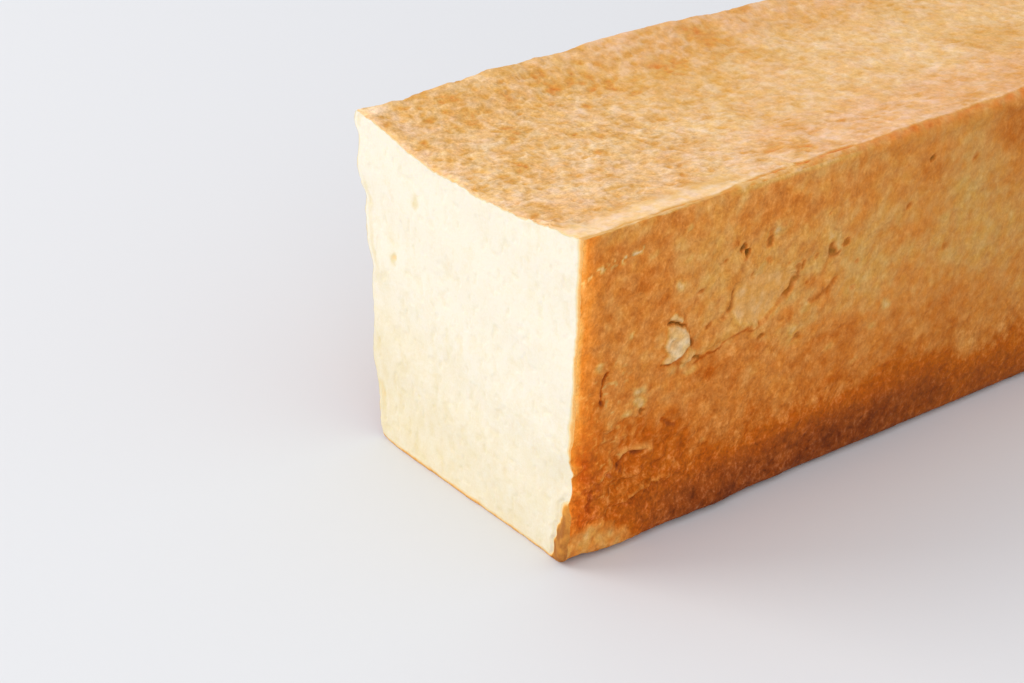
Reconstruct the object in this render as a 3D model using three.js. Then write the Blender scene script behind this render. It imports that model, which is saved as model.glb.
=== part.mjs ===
// Tin loaf: a square sandwich loaf that was baked in a lidded tin, with one end cut away square.
// It is one solid. The crust has the marks of the tin: flared sides, a top that sank as the loaf
// cooled, a thin seam bead under the lid, soft base edges, and the scars and folds of the dough.
// Millimetres. X is across the loaf, Y along it from the cut face to the whole end, Z up.
// The origin is the middle of the footprint, on the surface that the loaf stands on.
import * as THREE from "three";

// Driving dimensions.
const LENGTH = 300;
const TOP_WIDTH = 120;
const BASE_WIDTH = 104.5;
const HEIGHT = 118;
// The dough settled a little to the right in the tin, so the base is this far off centre.
const BASE_SHIFT = 1.3;

// The tin's end wall flares as its side walls do, so the whole end leans by as much.
const END_FLARE = (TOP_WIDTH - BASE_WIDTH) / 2;

// Edge radii. The lid pinches the top edges, and the base edges are where the dough rolled under.
const BASE_EDGE_RADIUS = 5;
const TOP_EDGE_RADIUS = 1.4;
const SEAM_RADIUS = 3.6;
const END_EDGE_RADIUS = 6;

// How far each wall sinks between its edges. The top keeps most of it near the cut.
const TOP_DIP_AT_CUT = 5.2;
const TOP_DIP_AT_END = 4.2;
const LEFT_DIP = 0.6;
const END_DIP = 3;

// The seam bead on the right top edge starts this far from the cut and is full this much later.
const SEAM_START = 40;
const SEAM_GROWTH = 110;
const SEAM_GROOVE = 0.5;

// Uneven crust: lump size and height, coarse and fine.
const SWELL_SIZE = 42;
const SWELL_HEIGHT = 0.9;
const LUMP_SIZE = 13;
const LUMP_HEIGHT = 0.45;

// Grid of the faces: steps across the loaf, up it and along it, and in each half corner.
const STEPS_ACROSS = 25;
const STEPS_UP = 27;
const STEPS_ALONG = 39;
const STEPS_END_EDGE = 3;
const HALF_CORNER_STEPS = 2;
// The steps along the loaf are finest at the cut, and grow by this power towards the whole end.
const ALONG_POWER = 1.35;

const RING = 2 * (STEPS_ACROSS + STEPS_UP);

const { clamp, lerp, smoothstep } = THREE.MathUtils;

// ---- Uneven surfaces ----

// A repeatable number from -1 to 1 for each corner of a unit grid.
function gridValue(i, j, k) {
  const wild = Math.sin(i * 127.1 + j * 311.7 + k * 74.7) * 43758.5453;
  return 2 * (wild - Math.floor(wild)) - 1;
}

// Smooth lumps of a given size, from about -1 to 1.
function lumps(x, y, z, size) {
  const place = [x / size, y / size, z / size];
  const cell = place.map(Math.floor);
  const blend = place.map((p, n) => smoothstep(p - cell[n], 0, 1));
  let sum = 0;
  for (let corner = 0; corner < 8; corner++) {
    const step = [corner & 1, (corner >> 1) & 1, corner >> 2];
    const share = step.reduce((w, s, n) => w * (s ? blend[n] : 1 - blend[n]), 1);
    sum += share * gridValue(cell[0] + step[0], cell[1] + step[1], cell[2] + step[2]);
  }
  return sum;
}

// ---- Marks on the right wall: along is measured from the cut face, up from the base ----

// A soft-edged patch: 1 in its middle, 0 from its rim outwards.
function patch(along, up, mark) {
  const turn = THREE.MathUtils.degToRad(mark.lean ?? 0);
  const a = along - mark.along;
  const u = up - mark.up;
  const onLength = (a * Math.cos(turn) + u * Math.sin(turn)) / mark.halfLength;
  const onWidth = (u * Math.cos(turn) - a * Math.sin(turn)) / mark.halfWidth;
  return 1 - smoothstep(Math.hypot(onLength, onWidth), mark.core ?? 0, 1);
}

// The shallow hollow where a blister came away, with a firm rim.
const BLISTER_SCAR = { along: 75.5, up: 75.3, halfLength: 17, halfWidth: 9.5, lean: -8, core: 0.72 };
const BLISTER_DEPTH = 1.1;
// The torn flake beside it: a raised tongue and the pit it left.
const FLAKE = { along: 40.5, up: 71.5, halfLength: 9, halfWidth: 5.5, lean: 98, core: 0.4 };
const FLAKE_HEIGHT = 1.3;
const FLAKE_PIT = { along: 47.5, up: 66, halfLength: 6, halfWidth: 3.6, lean: 80 };
const FLAKE_PIT_DEPTH = 1.2;
// The fold that runs from the hollow down past the flake.
const FOLD = { along: 53, up: 61.5, halfLength: 23, halfWidth: 4.5, lean: 7, core: 0.2 };
const FOLD_DEPTH = 0.8;
// The short upright crack near the cut.
const CRACK = { along: 12.5, up: 62, halfLength: 7, halfWidth: 2.6, lean: 90 };
const CRACK_DEPTH = 1.1;
// The gathered wrinkles low down near the cut: a row of slanting ridges.
const WRINKLES = { along: 29.5, up: 38.5, halfLength: 17, halfWidth: 13, lean: -35, core: 0.3 };
const WRINKLE_PITCH = 8.5;
const WRINKLE_HEIGHT = 0.75;
const WRINKLE_SLANT = THREE.MathUtils.degToRad(52);
// The soft roll of dough along the foot of the wall beside the cut.
const FOOT_ROLL = { along: 40, up: 3, halfLength: 52, halfWidth: 10, core: 0.3 };
const FOOT_ROLL_HEIGHT = 1.4;
// Burst bubbles high on the wall.
const BUBBLES = [
  { along: 64, up: 95.3, halfLength: 3.8, halfWidth: 3.8 },
  { along: 79, up: 96, halfLength: 3.8, halfWidth: 3.8 },
  { along: 105.5, up: 84.8, halfLength: 5, halfWidth: 3.4 },
];
const BUBBLE_DEPTH = 0.9;

function rightWallMarks(along, up) {
  const across = along * Math.cos(WRINKLE_SLANT) + up * Math.sin(WRINKLE_SLANT);
  const ridges = Math.sin((2 * Math.PI * across) / WRINKLE_PITCH);
  let height = 0;
  height -= BLISTER_DEPTH * patch(along, up, BLISTER_SCAR);
  height += FLAKE_HEIGHT * patch(along, up, FLAKE);
  height -= FLAKE_PIT_DEPTH * patch(along, up, FLAKE_PIT);
  height -= FOLD_DEPTH * patch(along, up, FOLD);
  height -= CRACK_DEPTH * patch(along, up, CRACK);
  height += WRINKLE_HEIGHT * ridges * patch(along, up, WRINKLES);
  height += FOOT_ROLL_HEIGHT * patch(along, up, FOOT_ROLL);
  for (const bubble of BUBBLES) height -= BUBBLE_DEPTH * patch(along, up, bubble);
  return height;
}

// ---- Swells of the left wall and the top ----
// Here up is the height on the wall, and runs on across the top from the wall's upper edge.

const LEFT_SWELLS = [
  // The edge is pulled up and out along the middle of the loaf.
  { along: 92, up: HEIGHT, halfLength: 130, halfWidth: 26, height: 2.9 },
  // At the cut: the lip on the corner, then bellies and pinches down the wall.
  { along: 0, up: HEIGHT - 3, halfLength: 14, halfWidth: 5, height: 2.8 },
  { along: 0, up: 99, halfLength: 26, halfWidth: 11, height: 2.1 },
  { along: 0, up: 89, halfLength: 20, halfWidth: 5, height: -1.2 },
  { along: 0, up: 66, halfLength: 30, halfWidth: 9, height: -1.9 },
  { along: 0, up: 32, halfLength: 30, halfWidth: 16, height: 2.1 },
  // The low step in the top crust beside the cut.
  { along: 0, up: HEIGHT + 15, halfLength: 9, halfWidth: 13, height: 0.8, core: 0.75 },
];

function leftSwell({ x, z, wall }, along) {
  const up = wall === "top" ? HEIGHT + TOP_WIDTH / 2 + x : z;
  return LEFT_SWELLS.reduce((sum, swell) => sum + swell.height * patch(along, up, swell), 0);
}

// ---- The section of the loaf ----

// The four walls in ring order, seen from the cut: each has its outward direction and its steps.
const RIGHT_LEAN = Math.atan2(END_FLARE - BASE_SHIFT, HEIGHT);
const LEFT_LEAN = Math.atan2(END_FLARE + BASE_SHIFT, HEIGHT);
const WALLS = [
  { name: "base", facing: -Math.PI / 2, steps: STEPS_ACROSS },
  { name: "right", facing: -RIGHT_LEAN, steps: STEPS_UP },
  { name: "top", facing: Math.PI / 2, steps: STEPS_ACROSS },
  { name: "left", facing: Math.PI + LEFT_LEAN, steps: STEPS_UP },
];

// How full the seam bead is at this distance from the cut, from 0 to 1.
function seamGrowth(along) {
  return smoothstep(along, SEAM_START, SEAM_START + SEAM_GROWTH);
}

// The corner that starts each wall, seen from the cut, with its radius.
function cornersAt(along) {
  const seam = lerp(TOP_EDGE_RADIUS, SEAM_RADIUS, seamGrowth(along));
  return [
    { x: BASE_SHIFT - BASE_WIDTH / 2, z: 0, radius: BASE_EDGE_RADIUS },
    { x: BASE_SHIFT + BASE_WIDTH / 2, z: 0, radius: BASE_EDGE_RADIUS },
    { x: TOP_WIDTH / 2, z: HEIGHT, radius: seam },
    { x: -TOP_WIDTH / 2, z: HEIGHT, radius: TOP_EDGE_RADIUS },
  ];
}

function outward(angle) {
  return new THREE.Vector2(Math.cos(angle), Math.sin(angle));
}

// The middle of a rounded corner: the point that lies its radius inside both of its walls.
function cornerMiddle(corner, before, after) {
  const bisector = (before.facing + after.facing) / 2;
  const spread = Math.cos((after.facing - before.facing) / 2);
  const reach = corner.radius / spread;
  return new THREE.Vector2(corner.x, corner.z).addScaledVector(outward(bisector), -reach);
}

// How far a wall has sunk at a share t of the way along it.
function dipOf(wall, t, along) {
  const bow = 4 * t * (1 - t);
  if (wall.name === "top") return bow * lerp(TOP_DIP_AT_CUT, TOP_DIP_AT_END, along / LENGTH);
  if (wall.name === "left") return bow * LEFT_DIP;
  return 0;
}

// Facings rise round the ring; the corner before the base needs the left wall's one turn back.
function previousWall(index) {
  const before = WALLS[(index + 3) % 4];
  return index ? before : { ...before, facing: before.facing - 2 * Math.PI };
}

function nextWall(index) {
  const after = WALLS[(index + 1) % 4];
  return index < 3 ? after : { ...after, facing: after.facing + 2 * Math.PI };
}

// Point and outward direction on one wall, step by step from the middle of its first corner
// to the middle of its last one.
function wallPoint(index, step, along) {
  const wall = WALLS[index];
  const corners = cornersAt(along);
  const first = corners[index];
  const last = corners[(index + 1) % 4];
  const before = previousWall(index);
  const after = nextWall(index);
  const start = cornerMiddle(first, before, wall);
  const end = cornerMiddle(last, wall, after);
  const straight = wall.steps - 2 * HALF_CORNER_STEPS;
  const t = clamp((step - HALF_CORNER_STEPS) / straight, 0, 1);
  const intoCorner = step <= wall.steps / 2 ? before.facing : after.facing;
  const left = Math.min(step, wall.steps - step) / HALF_CORNER_STEPS;
  const turn = clamp(1 - left, 0, 1) / 2;
  const facing = lerp(wall.facing, intoCorner, turn);
  const radius = lerp(first.radius, last.radius, t);
  const direction = outward(facing);
  const place = start.lerp(end, t).addScaledVector(direction, radius);
  place.addScaledVector(outward(wall.facing), -dipOf(wall, t, along));
  return { x: place.x, z: place.y, facing: direction, wall: wall.name };
}

// ---- The skin: every ring of the loaf from the cut to the whole end ----

// Height of the crust's relief at a point, measured outwards.
function relief(point, along) {
  const { x, z, wall } = point;
  let height = SWELL_HEIGHT * lumps(x, along, z, SWELL_SIZE);
  height += LUMP_HEIGHT * lumps(x + 500, along, z, LUMP_SIZE);
  if (wall === "left" || wall === "top") height += leftSwell(point, along);
  if (wall === "right") {
    height += rightWallMarks(along, z);
    const belowSeam = 1 - clamp(Math.abs(HEIGHT - 2 * SEAM_RADIUS - z) / SEAM_RADIUS, 0, 1);
    height -= SEAM_GROOVE * seamGrowth(along) * belowSeam;
  }
  return height;
}

// The base stays flat: relief fades out where the skin faces down.
function keepBaseFlat(facing) {
  return smoothstep(facing.y, -1, -0.35);
}

// A point of the skin. share runs from 0 at the cut to 1 at the whole end, and inset draws the
// section in, round the edge of the end wall.
function skinPoint(index, step, share, inset) {
  const along = share * LENGTH;
  const flat = wallPoint(index, step, along);
  const height = relief(flat, along) * keepBaseFlat(flat.facing);
  const x = flat.x + flat.facing.x * height;
  const z = Math.max(0, flat.z + flat.facing.y * height);
  const shorter = END_FLARE * (1 - z / HEIGHT);
  const drawnIn = 1 - inset / (TOP_WIDTH / 2);
  return new THREE.Vector3(
    BASE_SHIFT / 2 + (x - BASE_SHIFT / 2) * drawnIn,
    share * (LENGTH - shorter) - LENGTH / 2,
    HEIGHT / 2 + (z - HEIGHT / 2) * drawnIn,
  );
}

function ringOf(share, inset = 0) {
  const ring = [];
  WALLS.forEach((wall, index) => {
    for (let step = 0; step < wall.steps; step++) ring.push(skinPoint(index, step, share, inset));
  });
  return ring;
}

// Shares of the length at which the rings stand, finest at the cut, then round the end's edge.
function makeRings() {
  const edgeShare = 1 - END_EDGE_RADIUS / LENGTH;
  const rings = [];
  for (let n = 0; n <= STEPS_ALONG; n++) {
    rings.push(ringOf(edgeShare * (n / STEPS_ALONG) ** ALONG_POWER));
  }
  for (let n = 1; n <= STEPS_END_EDGE; n++) {
    const turn = (n / STEPS_END_EDGE) * (Math.PI / 2);
    const forward = END_EDGE_RADIUS * Math.sin(turn);
    const inset = END_EDGE_RADIUS * (1 - Math.cos(turn));
    rings.push(ringOf(edgeShare + forward / LENGTH, inset));
  }
  return rings;
}

// ---- The two ends, each stretched over its ring ----

// The knife's slow waves across the cut and the crumb's larger holes, as a depth into the loaf.
const KNIFE_WAVE = 0.35;
const KNIFE_PITCH = 31;
const CRUMB_SIZE = 5;
const CRUMB_DEPTH = 0.5;
const CRUMB_HOLES = [
  { x: -27.5, z: 97.7, radius: 5, depth: 1.2 },
  { x: -40.7, z: 72.8, radius: 5, depth: 1 },
];

function cutDepth(x, z) {
  let depth = KNIFE_WAVE * (1 + Math.sin((2 * Math.PI * (z + 0.3 * x)) / KNIFE_PITCH));
  depth += CRUMB_DEPTH * (1 + lumps(x, 0, z, CRUMB_SIZE)) * 0.5;
  for (const hole of CRUMB_HOLES) {
    const away = Math.hypot(x - hole.x, z - hole.z) / hole.radius;
    depth += hole.depth * (1 - smoothstep(away, 0, 1));
  }
  return depth;
}

// The end wall sinks in as the other walls do.
function endDepth(x, z) {
  const bowX = clamp(1 - (2 * x / BASE_WIDTH) ** 2, 0, 1);
  const bowZ = clamp(1 - (2 * z / HEIGHT - 1) ** 2, 0, 1);
  return END_DIP * bowX * bowZ + SWELL_HEIGHT * lumps(x, LENGTH, z, LUMP_SIZE) * bowX * bowZ;
}

// Coons patch over a ring: the four walls' edges, blended across and up.
function stretched(ring, across, up) {
  const u = across / STEPS_ACROSS;
  const v = up / STEPS_UP;
  const rightStart = STEPS_ACROSS;
  const topStart = STEPS_ACROSS + STEPS_UP;
  const leftStart = topStart + STEPS_ACROSS;
  const base = ring[across];
  const right = ring[rightStart + up];
  const top = ring[(leftStart - across) % RING];
  const left = ring[(RING - up) % RING];
  const point = new THREE.Vector3();
  point.addScaledVector(base, 1 - v).addScaledVector(top, v);
  point.addScaledVector(left, 1 - u).addScaledVector(right, u);
  point.addScaledVector(ring[0], -(1 - u) * (1 - v));
  point.addScaledVector(ring[rightStart], -u * (1 - v));
  point.addScaledVector(ring[topStart], -u * v);
  point.addScaledVector(ring[leftStart], -(1 - u) * v);
  return point;
}

// Vertex number of a grid place on an end: the ring's own vertex on the border, else a new one.
function endVertex(across, up, ringStart, innerStart) {
  if (up === 0) return ringStart + across;
  if (across === STEPS_ACROSS) return ringStart + STEPS_ACROSS + up;
  if (up === STEPS_UP) return ringStart + 2 * STEPS_ACROSS + STEPS_UP - across;
  if (across === 0) return ringStart + RING - up;
  return innerStart + (up - 1) * (STEPS_ACROSS - 1) + across - 1;
}

function makeEnd(ring, inwards, depthAt) {
  const points = [];
  for (let up = 1; up < STEPS_UP; up++) {
    for (let across = 1; across < STEPS_ACROSS; across++) {
      const point = stretched(ring, across, up);
      point.y += inwards * depthAt(point.x, point.z);
      points.push(point);
    }
  }
  return points;
}

// Two triangles for the four-sided cell a, b, c, d, turned the right way out.
function cell(faces, a, b, c, d) {
  faces.push(a, b, c, a, c, d);
}

function loafGeometry() {
  const rings = makeRings();
  const lastRing = rings.length - 1;
  const cutEnd = makeEnd(rings[0], 1, cutDepth);
  const wholeEnd = makeEnd(rings[lastRing], -1, endDepth);
  const cutStart = rings.length * RING;
  const wholeStart = cutStart + cutEnd.length;
  const faces = [];
  for (let n = 0; n < lastRing; n++) {
    for (let i = 0; i < RING; i++) {
      const next = (i + 1) % RING;
      cell(faces, n * RING + i, (n + 1) * RING + i, (n + 1) * RING + next, n * RING + next);
    }
  }
  for (let up = 0; up < STEPS_UP; up++) {
    for (let across = 0; across < STEPS_ACROSS; across++) {
      const onEnd = (ringStart, innerStart) => [
        endVertex(across, up, ringStart, innerStart),
        endVertex(across + 1, up, ringStart, innerStart),
        endVertex(across + 1, up + 1, ringStart, innerStart),
        endVertex(across, up + 1, ringStart, innerStart),
      ];
      cell(faces, ...onEnd(0, cutStart));
      cell(faces, ...onEnd(lastRing * RING, wholeStart).reverse());
    }
  }
  const points = [...rings.flat(), ...cutEnd, ...wholeEnd];
  const geometry = new THREE.BufferGeometry().setFromPoints(points);
  geometry.setIndex(faces);
  return centred(geometry);
}

// Puts the middle of the box that holds the loaf over the origin, and its base at Z 0.
function centred(geometry) {
  geometry.computeBoundingBox();
  const { min, max } = geometry.boundingBox;
  geometry.translate(-(min.x + max.x) / 2, -(min.y + max.y) / 2, -min.z);
  geometry.computeVertexNormals();
  return geometry;
}

const crust = new THREE.MeshStandardMaterial({ color: 0xd9964f, roughness: 0.62, metalness: 0 });

const loaf = new THREE.Mesh(loafGeometry(), crust);
loaf.name = "loaf";

const tinLoaf = new THREE.Group();
tinLoaf.add(loaf);

export default tinLoaf;
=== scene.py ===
"""Tin loaf: the looks of a square sandwich loaf with one end cut away, and its studio.

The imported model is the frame. Sizes of the form are millimetres in the functions below, and the
loaf lies as the frame says: X across, Y along it from the cut face to the whole end, Z up.
"""
import math
from collections import namedtuple
from functools import lru_cache

import bpy
import numpy as np
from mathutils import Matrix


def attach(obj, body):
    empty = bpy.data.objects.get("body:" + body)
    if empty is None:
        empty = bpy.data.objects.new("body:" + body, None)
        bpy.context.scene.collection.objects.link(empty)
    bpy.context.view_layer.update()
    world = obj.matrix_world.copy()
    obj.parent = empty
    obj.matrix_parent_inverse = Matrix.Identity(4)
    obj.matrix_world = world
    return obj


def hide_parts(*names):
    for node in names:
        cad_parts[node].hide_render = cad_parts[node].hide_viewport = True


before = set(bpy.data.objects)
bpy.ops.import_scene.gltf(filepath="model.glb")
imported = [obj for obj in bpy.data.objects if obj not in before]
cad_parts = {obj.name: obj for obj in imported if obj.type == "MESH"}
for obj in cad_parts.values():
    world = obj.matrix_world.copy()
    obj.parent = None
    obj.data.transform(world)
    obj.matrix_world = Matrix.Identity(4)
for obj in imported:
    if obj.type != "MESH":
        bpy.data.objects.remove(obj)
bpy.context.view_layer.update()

bl_info = {
    "name": "Tin Loaf",
    "version": (1, 0, 0),
    "blender": (4, 5, 0),
    "location": "View3D > Sidebar > Tin Loaf",
    "description": "Makes the crust, the cut crumb and the studio of a square tin loaf",
    "category": "Add Mesh",
}

MM = 0.001


def linear(hex_colour):
    """Linear red, green and blue of an sRGB hex colour."""
    parts = [int(hex_colour[n:n + 2], 16) / 255 for n in (0, 2, 4)]
    return tuple(p / 12.92 if p <= 0.04045 else ((p + 0.055) / 1.055) ** 2.4 for p in parts)


# ---- What a user may change ----

def size(name, description, millimetres):
    """A length setting, kept in metres."""
    return bpy.props.FloatProperty(
        name=name, description=description, default=millimetres * MM,
        unit="LENGTH", subtype="DISTANCE", precision=4,
    )


def colour(name, description, hex_colour):
    """A colour setting, kept linear."""
    return bpy.props.FloatVectorProperty(
        name=name, description=description, default=linear(hex_colour),
        subtype="COLOR", size=3, min=0, max=1,
    )


class LoafShape(bpy.types.PropertyGroup):
    """Sizes of the loaf and of the unevenness of its crust."""

    length: size("Length", "From the cut face to the whole end", 300)
    top_width: size("Top width", "Across the loaf at its top", 120)
    base_width: size("Base width", "Across the loaf at its base", 104.5)
    height: size("Height", "From the base to the top edges", 118)
    base_shift: size("Base shift", "How far the base stands to the right", 1.3)
    base_edge: size("Base edge radius", "Where the dough rolled under", 5)
    top_edge: size("Top edge radius", "Where the lid pinched the dough", 1.4)
    seam: size("Seam radius", "Right top edge, far from the cut", 3.6)
    end_edge: size("End edge radius", "Edge of the whole end", 6)
    top_dip_at_cut: size("Top dip at the cut", "How far the top sank", 5.2)
    top_dip_at_end: size("Top dip at the end", "How far the top sank", 4.2)
    left_dip: size("Left dip", "How far the left wall sank", 0.6)
    end_dip: size("End dip", "How far the whole end sank", 3)
    swell: size("Swell height", "Broad unevenness of the crust", 0.9)
    lump: size("Lump height", "Finger-sized unevenness of the crust", 0.45)
    grain: size("Grain height", "Curled grain of the top crust", 0.2)
    leather: size("Leather height", "Upright creasing of the walls", 0.25)
    pores: size("Pore depth", "Depth of the crumb's cells", 0.18)


class CrustLook(bpy.types.PropertyGroup):
    """Colours of the crust, from raw dough to the darkest bake."""

    dough: colour("Dough", "Where the crust stayed raw", "f0dcb4")
    blond: colour("Blond", "Barely baked", "ecceac")
    wheat: colour("Wheat", "Crests of the top", "dfbf95")
    gold: colour("Gold", "Hollows of the top", "cf9f59")
    amber: colour("Amber", "Most of the walls", "cf873f")
    copper: colour("Copper", "Low on the walls", "bb5f0e")
    brown: colour("Brown", "The foot of the walls", "9e4f18")
    # Painted shade in the creases runs towards this colour.
    dark: colour("Dark", "Creases and the base", "703214")
    straw: colour("Straw", "Tint of the yellower places", "fff4d4")
    rose: colour("Rose", "Tint of the rosier places", "fff2ff")
    dull: colour("Dull", "Tint of the walls that baked duller", "f2faff")
    # Painted sheen: a pale colour mixed onto the crests of the grain, where they catch the light.
    bloom: colour("Bloom", "Pale dust on the crests of the grain", "f0d0a0")
    glow_pale: colour("Pale glow", "Palest crust with light behind it", "ffc671")
    glow: colour("Glow", "Crust at the cut with light behind it", "f29435")
    glow_deep: colour("Deep glow", "Brown crust with light behind it", "cf610e")
    torn: colour("Torn", "Freshly torn dough", "e4cba2")
    torn_dry: colour("Torn, dried", "Torn dough that dried", "d8b07a")
    scar: colour("Scar", "Skin that stuck and came away", "d99e59")
    shade: colour("Shade", "Rims and hollows of the tears", "9f6a27")
    # Painted shade: the darkest colour of the burst bubbles and the tear rims.
    pore: colour("Pore", "Burst bubbles", "5c3802")
    roughness: bpy.props.FloatProperty(
        name="Roughness", description="Of the driest crust", default=0.6,
        min=0, max=1, subtype="FACTOR",
    )


class CrumbLook(bpy.types.PropertyGroup):
    """Colours of the cut crumb."""

    crumb: colour("Crumb", "The open crumb", "ede5d2")
    # Painted shade: the crumb takes this colour inside its cells and low in the loaf.
    cell: colour("Cell", "Inside its larger cells, and low in the loaf", "e2d2a8")
    peach: colour("Peach", "Crumb just inside the crust", "f0cb90")
    rim: colour("Rim", "The cut edge of the crust", "e09a40")
    # Partly painted shade: this colour is darker than the rolled-in crust itself.
    foot: colour("Foot", "Crust rolled in at the lower right corner", "a4652a")
    roughness: bpy.props.FloatProperty(
        name="Roughness", description="Of the cut crumb", default=0.9,
        min=0, max=1, subtype="FACTOR",
    )


class Studio(bpy.types.PropertyGroup):
    """Camera, light and floor."""

    lens: bpy.props.FloatProperty(
        name="Lens", description="Focal length in millimetres", default=84.375, min=10,
    )
    window_power: bpy.props.FloatProperty(
        name="Window", description="Power of the window light", default=18,
        min=0, unit="POWER",
    )
    fill_power: bpy.props.FloatProperty(
        name="Fill", description="Power of the fill light", default=8.5,
        min=0, unit="POWER",
    )
    room: bpy.props.FloatProperty(
        name="Room", description="Strength of the room's even light", default=1.0, min=0,
    )
    floor: colour("Floor", "The pale floor", "d5d6d8")
    window_tint: colour("Window tint", "Colour of the window light", "fffaf2")
    fill_tint: colour("Fill tint", "Colour of the fill light", "fff6ee")
    room_tint: colour("Room tint", "Colour of the room's even light", "f6f8fd")


# ---- Uneven surfaces ----

def smooth(value, zero_at, full_at):
    """A soft step from 0 at the first place to 1 at the second, whichever is the larger."""
    t = np.clip((value - zero_at) / (full_at - zero_at), 0, 1)
    return t * t * (3 - 2 * t)


def grid_value(i, j, k):
    """A repeatable number from -1 to 1 for each corner of a unit grid."""
    wild = np.sin(i * 127.1 + j * 311.7 + k * 74.7) * 43758.5453
    return 2 * (wild - np.floor(wild)) - 1


def lumps(x, y, z, across):
    """Smooth lumps that measure this many millimetres across, from about -1 to 1."""
    place = [np.asarray(p, float) / across for p in (x, y, z)]
    cell = [np.floor(p) for p in place]
    blend = [smooth(p - c, 0, 1) for p, c in zip(place, cell)]
    total = 0
    for corner in range(8):
        step = (corner & 1, corner >> 1 & 1, corner >> 2)
        share = 1
        for side, weight in zip(step, blend):
            share = share * (weight if side else 1 - weight)
        total = total + share * grid_value(*(c + s for c, s in zip(cell, step)))
    return total


def curls(x, y, z, across):
    """Broad crests that wind about hollows, from -1 in the hollows to 1 on the crests."""
    bend = 0.8 * across
    bent_x = x + bend * lumps(x + 71, y, z, 2 * across)
    bent_y = y + bend * lumps(x, y + 71, z, 2 * across)
    return 1 - 4 * np.minimum(lumps(bent_x, bent_y, z, across) ** 2, 0.5)


def mottling(first, second, layers):
    """Sum of layers of lumps: (strength, how far drawn out on first, layer, mm across)."""
    total = 0
    for strength, drawn_out, layer, across in layers:
        total = total + strength * lumps(first / drawn_out, second, layer, across)
    return total


def bands(first, second, table):
    """Sum of soft-edged bands: (strength, steps on first, steps on second).

    Each step is (where it is 0, where it is 1). A band lies where all of its steps are 1.
    """
    total = 0
    for strength, on_first, on_second in table:
        steps = [smooth(first, *step) for step in on_first]
        steps += [smooth(second, *step) for step in on_second]
        total = total + strength * math.prod(steps)
    return total


# ---- Marks: along is measured from the cut face, up from the base ----

def path_distance(along, up, path):
    """How far each point lies from a bent line."""
    nearest = np.full(np.broadcast(along, up).shape, np.inf)
    for (a, u), (next_a, next_u) in zip(path, path[1:]):
        da, du = next_a - a, next_u - u
        share = np.clip(((along - a) * da + (up - u) * du) / (da * da + du * du), 0, 1)
        away = np.hypot(along - a - share * da, up - u - share * du)
        nearest = np.minimum(nearest, away)
    return nearest


def inside(along, up, outline):
    """How deep each point lies inside a closed outline; negative outside it."""
    closed = [*outline, outline[0]]
    within = np.zeros(np.broadcast(along, up).shape, bool)
    for (a, u), (next_a, next_u) in zip(closed, closed[1:]):
        if u != next_u:
            meets = a + (up - u) * (next_a - a) / (next_u - u)
            within ^= ((u > up) != (next_u > up)) & (along < meets)
    away = path_distance(along, up, closed)
    return np.where(within, away, -away)


def line_mark(along, up, path, half_width):
    """1 on a bent line, 0 from half_width away."""
    return smooth(path_distance(along, up, path), half_width, 0)


def spots(along, up, places, core=0.25):
    """Soft round spots, each given as (along, up, radius, strength)."""
    total = 0
    for a, u, radius, strength in places:
        away = np.hypot(along - a, up - u) / radius
        total = total + strength * smooth(away, 1, core)
    return total


def patch(along, up, mark):
    """A soft-edged oval patch: 1 in its middle, 0 from its rim outwards."""
    turn = math.radians(mark.lean)
    a = along - mark.along
    u = up - mark.up
    on_length = (a * math.cos(turn) + u * math.sin(turn)) / mark.half_length
    on_width = (u * math.cos(turn) - a * math.sin(turn)) / mark.half_width
    return smooth(np.hypot(on_length, on_width), 1, mark.core)


Patch = namedtuple("Patch", "along up half_length half_width height lean core", defaults=(1, 0, 0))

# The pit beside the torn flake, the fold below the blister scar, the upright crack, and the roll
# of dough along the foot of the right wall, which a crease lifts off the floor beside the cut.
# Height is positive outwards.
RIGHT_PATCHES = [
    Patch(47.5, 66, 6, 3.6, -1.2, 80),
    Patch(53, 61.5, 23, 4.5, -0.8, 7, 0.2),
    Patch(12.5, 62, 7, 2.6, -1.1, 90),
    Patch(64, 95.3, 3.8, 3.8, -0.9),
    Patch(79, 96, 3.8, 3.8, -0.9),
    Patch(105.5, 84.8, 5, 3.4, -0.9),
]
FOOT_ROLL = Patch(40, 3, 52, 10, 1.4, 0, 0.3)
FOOT_CREASE = Patch(5, 0, 9, 8, -1.2, 0, 0.1)
# Where the roll stayed pale; its height is how brown it is there.
PALE_ROLL = Patch(8, 5, 30, 11, 0.52, -10, 0.5)
# Wrinkles and upright pleats of the gathered crust, and how far apart they are.
WRINKLES = Patch(29.5, 38.5, 17, 13, 0.75, -35, 0.3)
WRINKLE_PITCH = 8.5
WRINKLE_SLANT = math.radians(52)
PLEATS = Patch(23.5, 42, 10, 7, 0.18, 20, 0.3)
PLEAT_PITCH = 3.5

# The blister scar: where a blister stuck to the tin and came away, with a firm lower right rim.
SCAR = [
    (61.4, 74), (60.8, 80), (62, 85), (68, 86.3), (75, 85), (81, 84), (87, 82.5),
    (89.6, 80), (89.2, 75.7), (86.8, 73), (82, 70), (78.5, 67.6), (74.8, 65.3), (69, 68),
]
SCAR_DEPTH = 1.1
# Middle of the scar, both along and up.
SCAR_MIDDLE = 75
# The edge of the fold, from the scar's lower tip down to the flake, with a shadow painted along
# it.
FOLD_EDGE = [(44, 57.5), (52, 61), (55.4, 61.8), (59.4, 62.6), (63, 64.7), (68, 66), (74.8, 65)]
FOLD_STEP = 0.7
# Where along the wall the fold's edge comes and goes.
FOLD_REACH = [(1, [(44, 50), (77, 72)], [])]

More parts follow.
